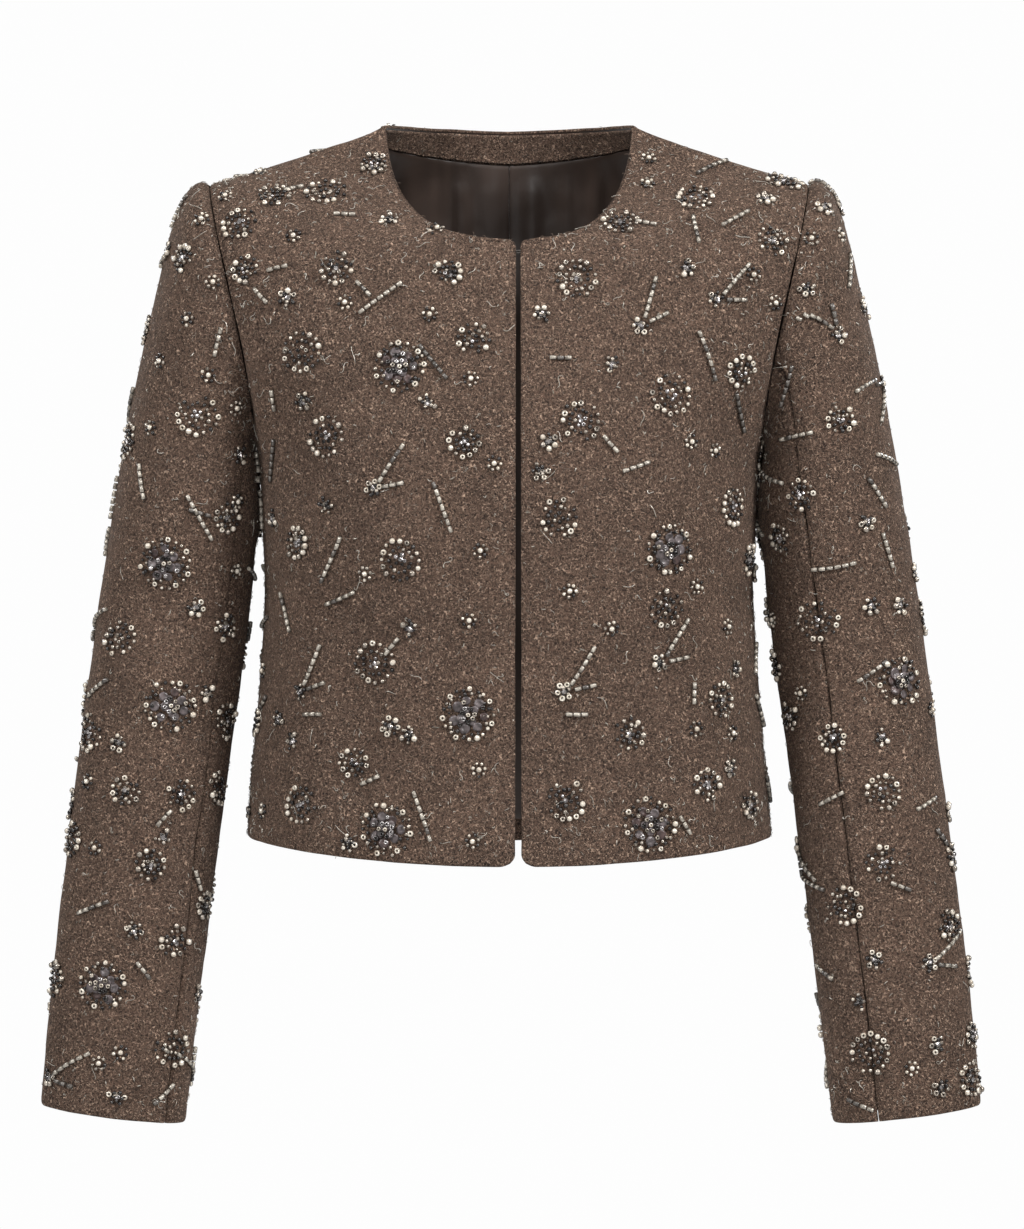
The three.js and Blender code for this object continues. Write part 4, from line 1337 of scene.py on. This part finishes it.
def layMain(laid):
    for name, rows in mainMotifs.items():
        points, normals = surfaces[name], surfaceNormals[name]
        for x, z, kind, turn in rows:
            far = (points[..., 0] - x) ** 2 + (points[..., 2] - z) ** 2
            far = far + np.where(normals[..., 1] > 0.1, 1e6, 0)  # only where the cloth faces forward
            r, c = np.unravel_index(np.argmin(far), far.shape)
            reach, makeMotif = motifKinds[kind]
            layBeads(name, float(r), float(c), math.radians(turn), makeMotif())
            laid[name].append((points[r, c], reach))


def layRest(laid):
    largeLeft = dict(scatter["large"])
    for name, points in surfaces.items():
        rows, columns = points.shape[:2]
        room = roomOf(name)
        tries = scatter["frontTries" if name.startswith("front") else "tries"]
        for attempt in range(tries):
            r, c = random.uniform(2, rows - 3), random.uniform(0, columns - 1)
            kind = pick(scatter["early" if attempt < tries * scatter["earlyWithin"] else "late"])
            if attempt < tries * scatter["largeWithin"] and largeLeft.get(name, 0) > 0:
                kind = "large"
            point, (reach, makeMotif) = points[int(r), int(c)], motifKinds[kind]
            clear = all(np.linalg.norm(point - other) > reach + otherReach + scatter["room"]
                        for other, otherReach in laid[name])
            if not clear or room[int(r), int(c)] < reach + scatter["edgeRoom"]:
                continue
            if kind == "large":
                largeLeft[name] -= 1
            layBeads(name, r, c, jitter(math.pi), makeMotif())
            laid[name].append((point, reach))


motifPlaces = {name: [] for name in surfaces}
layMain(motifPlaces)
layRest(motifPlaces)
print("motifs:", {name: len(places) for name, places in motifPlaces.items()}, "beads:", len(laidBeads))
sequinFinishes = {"sequinLilac", "sequinWine"}
for surfaceName in surfaces:
    for slotName, wanted in (("beads", set(beadMaterials) - sequinFinishes), ("sequins", sequinFinishes)):
        poured = pourBeads(slotName + "_" + surfaceName, surfaceName, wanted)
        if poured:
            finishPiece(poured)
print("beadwork made")


# Closed tubes along many paths at once; across is a direction that lies across each path
def tubes(paths, across, radius, around):
    count, steps = paths.shape[:2]
    tangent = unit(np.gradient(paths, axis=1))
    side = unit(np.cross(tangent, across))
    turns = 2 * math.pi * np.arange(around)[:, None] / around
    rings = side[:, :, None] * np.cos(turns) + np.cross(side, tangent)[:, :, None] * np.sin(turns)
    vertices = paths[:, :, None] + rings * radius
    index = np.arange(steps * around).reshape(steps, around)
    walls = halved(quadFaces(np.append(index, index[:, :1], axis=1)))
    last = around * (steps - 1)
    caps = [cap for j in range(1, around - 1) for cap in ((0, j + 1, j), (last, last + j, last + j + 1))]
    starts = steps * around * np.arange(count)
    triangles = np.concatenate([walls, caps]) + starts[:, None, None]
    return vertices.reshape(-1, 3), triangles.reshape(-1, 3)


# Loose curls and metallic threads that stand off the cloth

fibreKinds = table("name count length steps turn thickness lift threadShare margin", [
    ("curls", 1600, 3.6, 4, 2.6, 0.15, 0.6, 0.15, 1.5),
    ("threads", 120, 9.5, 10, 5.5, 0.22, 0.8, 1.0, 4),
    ("flecks", 170, 2.8, 3, 1.6, 0.32, 0.9, 1.0, 4),
])
fibreLooks = table("name low high metallic roughness", [
    ("curlWool", (0.10, 0.066, 0.048, 1), (0.24, 0.17, 0.13, 1), 0.0, 0.9),
    ("threadMetal", (0.46, 0.42, 0.36, 1), (0.86, 0.80, 0.71, 1), 0.6, 0.36),
])


def fibreMaterial(look):
    material, tree, _, tone = tonedMaterial(look["name"], 240.0, look)
    paint(tree, {"Base Color": tone["Color"], "Metallic": look["metallic"], "Roughness": look["roughness"]})
    return material


fibreMaterials = [fibreMaterial(look) for look in fibreLooks]


def makeFibres(surfaceName, kind):
    count, steps, margin = kind["count"], kind["steps"], kind["margin"]
    r, c = (random.uniform(margin, size - 1 - margin, count) for size in surfaces[surfaceName].shape[:2])
    base, normal, _ = sampleSurface(surfaceName, r, c)
    along = alongCloth(random.normal(size=(count, 3)), normal)
    turn = random.uniform(-1, 1, count) * kind["turn"]
    swing = random.uniform(0.5, 1.5, count)
    length = kind["length"] * random.uniform(0.6, 1.3, count)
    lift = kind["lift"] * random.uniform(0.5, 1.2, count)
    share = np.linspace(0, 1, steps)
    heading = turn[:, None] * np.sin(swing[:, None] * share * math.pi)
    stride = (length / (steps - 1))[:, None] * (share > 0)
    u, v = (np.cumsum(wave(heading) * stride, axis=1) for wave in (np.cos, np.sin))
    height = 0.1 + lift[:, None] * np.sin(math.pi * np.minimum(1, share * 1.15))
    path = base[:, None]
    for direction, distance in ((along, u), (np.cross(normal, along), v), (normal, height)):
        path = path + direction[:, None] * distance[..., None]
    vertices, triangles = tubes(path, normal[:, None], kind["thickness"], 3)
    metallic = np.repeat(random.random(count) < kind["threadShare"], len(triangles) // count)
    return newMesh(f"{kind['name']}_{surfaceName}", vertices, triangles, fibreMaterials, metallic)


for surfaceName in surfaces:
    for kind in fibreKinds:
        finishPiece(makeFibres(surfaceName, kind))
print("fibres made")


# The hook and eye at the top of the opening, behind the edges: two bent wires
hookAndEye = {
    "wire": 0.45,
    "height": -92.5,
    "depth": 3.4,
    "colour": (0.16, 0.145, 0.13, 1),
    "roughness": 0.42,
    "eyeMiddle": 4.4,
    "eyeReach": (3.4, 2.6),
    "eyeTurns": (-1.45, -1.45 + 1.7 * math.pi),
    "bill": [(-7.5, 0.3, 1.0), (-4, 0, 1.0), (0.6, -0.1, 0.9), (2.0, -0.5, 0.5), (2.2, -1.0, 0),
             (1.6, -1.3, -0.5), (-1.5, -1.2, -0.9), (-4, -0.6, -1.0), (-7.5, 0.3, -1.0)],
}


def makeHookAndEye():
    material, tree = newMaterial("hookMetal")
    paint(tree, {"Base Color": hookAndEye["colour"], "Metallic": 1.0, "Roughness": hookAndEye["roughness"]})
    z = hookAndEye["height"]
    y = cloth["wall"] + hookAndEye["depth"] - read(bodyRows, "z", z, "front")
    middle = np.array([opening["shift"], y, z])
    wide, high = hookAndEye["eyeReach"]
    eye = [(hookAndEye["eyeMiddle"] - wide * math.cos(a), 0, high * math.sin(a))
           for a in np.linspace(*hookAndEye["eyeTurns"], 21)]
    for name, path in (("eyeWire", eye), ("hookWire", hookAndEye["bill"])):
        vertices, triangles = tubes(np.array([path]) + middle, [0, 1.0, 0.03], hookAndEye["wire"], 8)
        finishPiece(newMesh(name, vertices, triangles, [material]))


makeHookAndEye()


studio = {
    "pixelsPerMetre": 1500,
    "imageWidth": 1024,
    "distance": 2.7,
    "cameraX": 0.002,
    "cameraZ": -0.327,
    "floorDrop": 0.55,
    "floorReach": 9.0,
    "paper": (0.55, 0.55, 0.55, 1),
    "airStrength": 0.06,
    "backdrop": 0.985,  # the white that the camera sees in the floor and the air
    "aim": (0, 0, -0.3),
}


def makeCamera():
    data = bpy.data.cameras.new("camera")
    data.sensor_fit = "HORIZONTAL"
    seenWidth = studio["imageWidth"] / studio["pixelsPerMetre"]
    data.lens = data.sensor_width * studio["distance"] / seenWidth
    camera = addObject("camera", data)
    camera.location = (studio["cameraX"], -studio["distance"], studio["cameraZ"])
    camera.rotation_euler = (math.radians(90), 0, 0)
    bpy.context.scene.camera = camera


def makeFloor():
    material, tree = newMaterial("floorPaper")
    seen = node(tree, "ShaderNodeLightPath").outputs["Is Camera Ray"]
    paint(tree, {
        "Base Color": blendColours(tree, seen, studio["paper"], (0, 0, 0, 1)),
        "Roughness": 0.95,
        "Specular IOR Level": 0.0,
        "Emission Strength": studio["backdrop"],
        "Emission Color": seen,
    })
    height, reach = cadBounds[0][2] - studio["floorDrop"], studio["floorReach"]
    rim = [(reach * u, reach * v, height) for _, u, v in circle(72, 1.0)]
    newMesh("floor", np.array(rim) / millimetre, np.arange(72)[None], [material], smooth=False)


lamps = table("name x y z size power", [
    ("frontLamp", -0.25, -3.1, 0.3, 0.8, 23),
    ("keyLamp", -2.3, -1.7, 1.2, 1.0, 54),
    ("fillLamp", 2.3, -1.6, 1.1, 1.0, 76),
    ("topLamp", 0.1, -0.7, 1.9, 1.1, 20),
    ("lowLamp", -0.2, -2.6, -1.4, 1.0, 4),
    ("backLampRight", -1.6, 2.2, 0.9, 1.2, 24),
    ("backLampLeft", 1.6, 2.2, 0.7, 1.2, 24),
])


def makeLamps():
    for lamp in lamps:
        data = bpy.data.lights.new(lamp["name"], "AREA")
        data.shape = "DISK"
        data.size = lamp["size"]
        data.energy = lamp["power"]
        light = addObject(lamp["name"], data)
        light.location = (lamp["x"], lamp["y"], lamp["z"])
        aim = Vector(studio["aim"]) - light.location
        light.rotation_euler = aim.to_track_quat("-Z", "Y").to_euler()


def makeWorld():
    world = bpy.data.worlds.new("studioAir")
    world.use_nodes = True
    tree = world.node_tree
    seen = node(tree, "ShaderNodeLightPath").outputs["Is Camera Ray"]
    strength = rescale(tree, seen, 0.0, 1.0, studio["airStrength"], studio["backdrop"])
    feed(tree, tree.nodes["Background"].inputs, {"Color": (1, 1, 1, 1), "Strength": strength})
    bpy.context.scene.world = world
    bpy.context.scene.view_settings.view_transform = "Standard"


makeCamera()
makeFloor()
makeLamps()
makeWorld()
print("studio made")
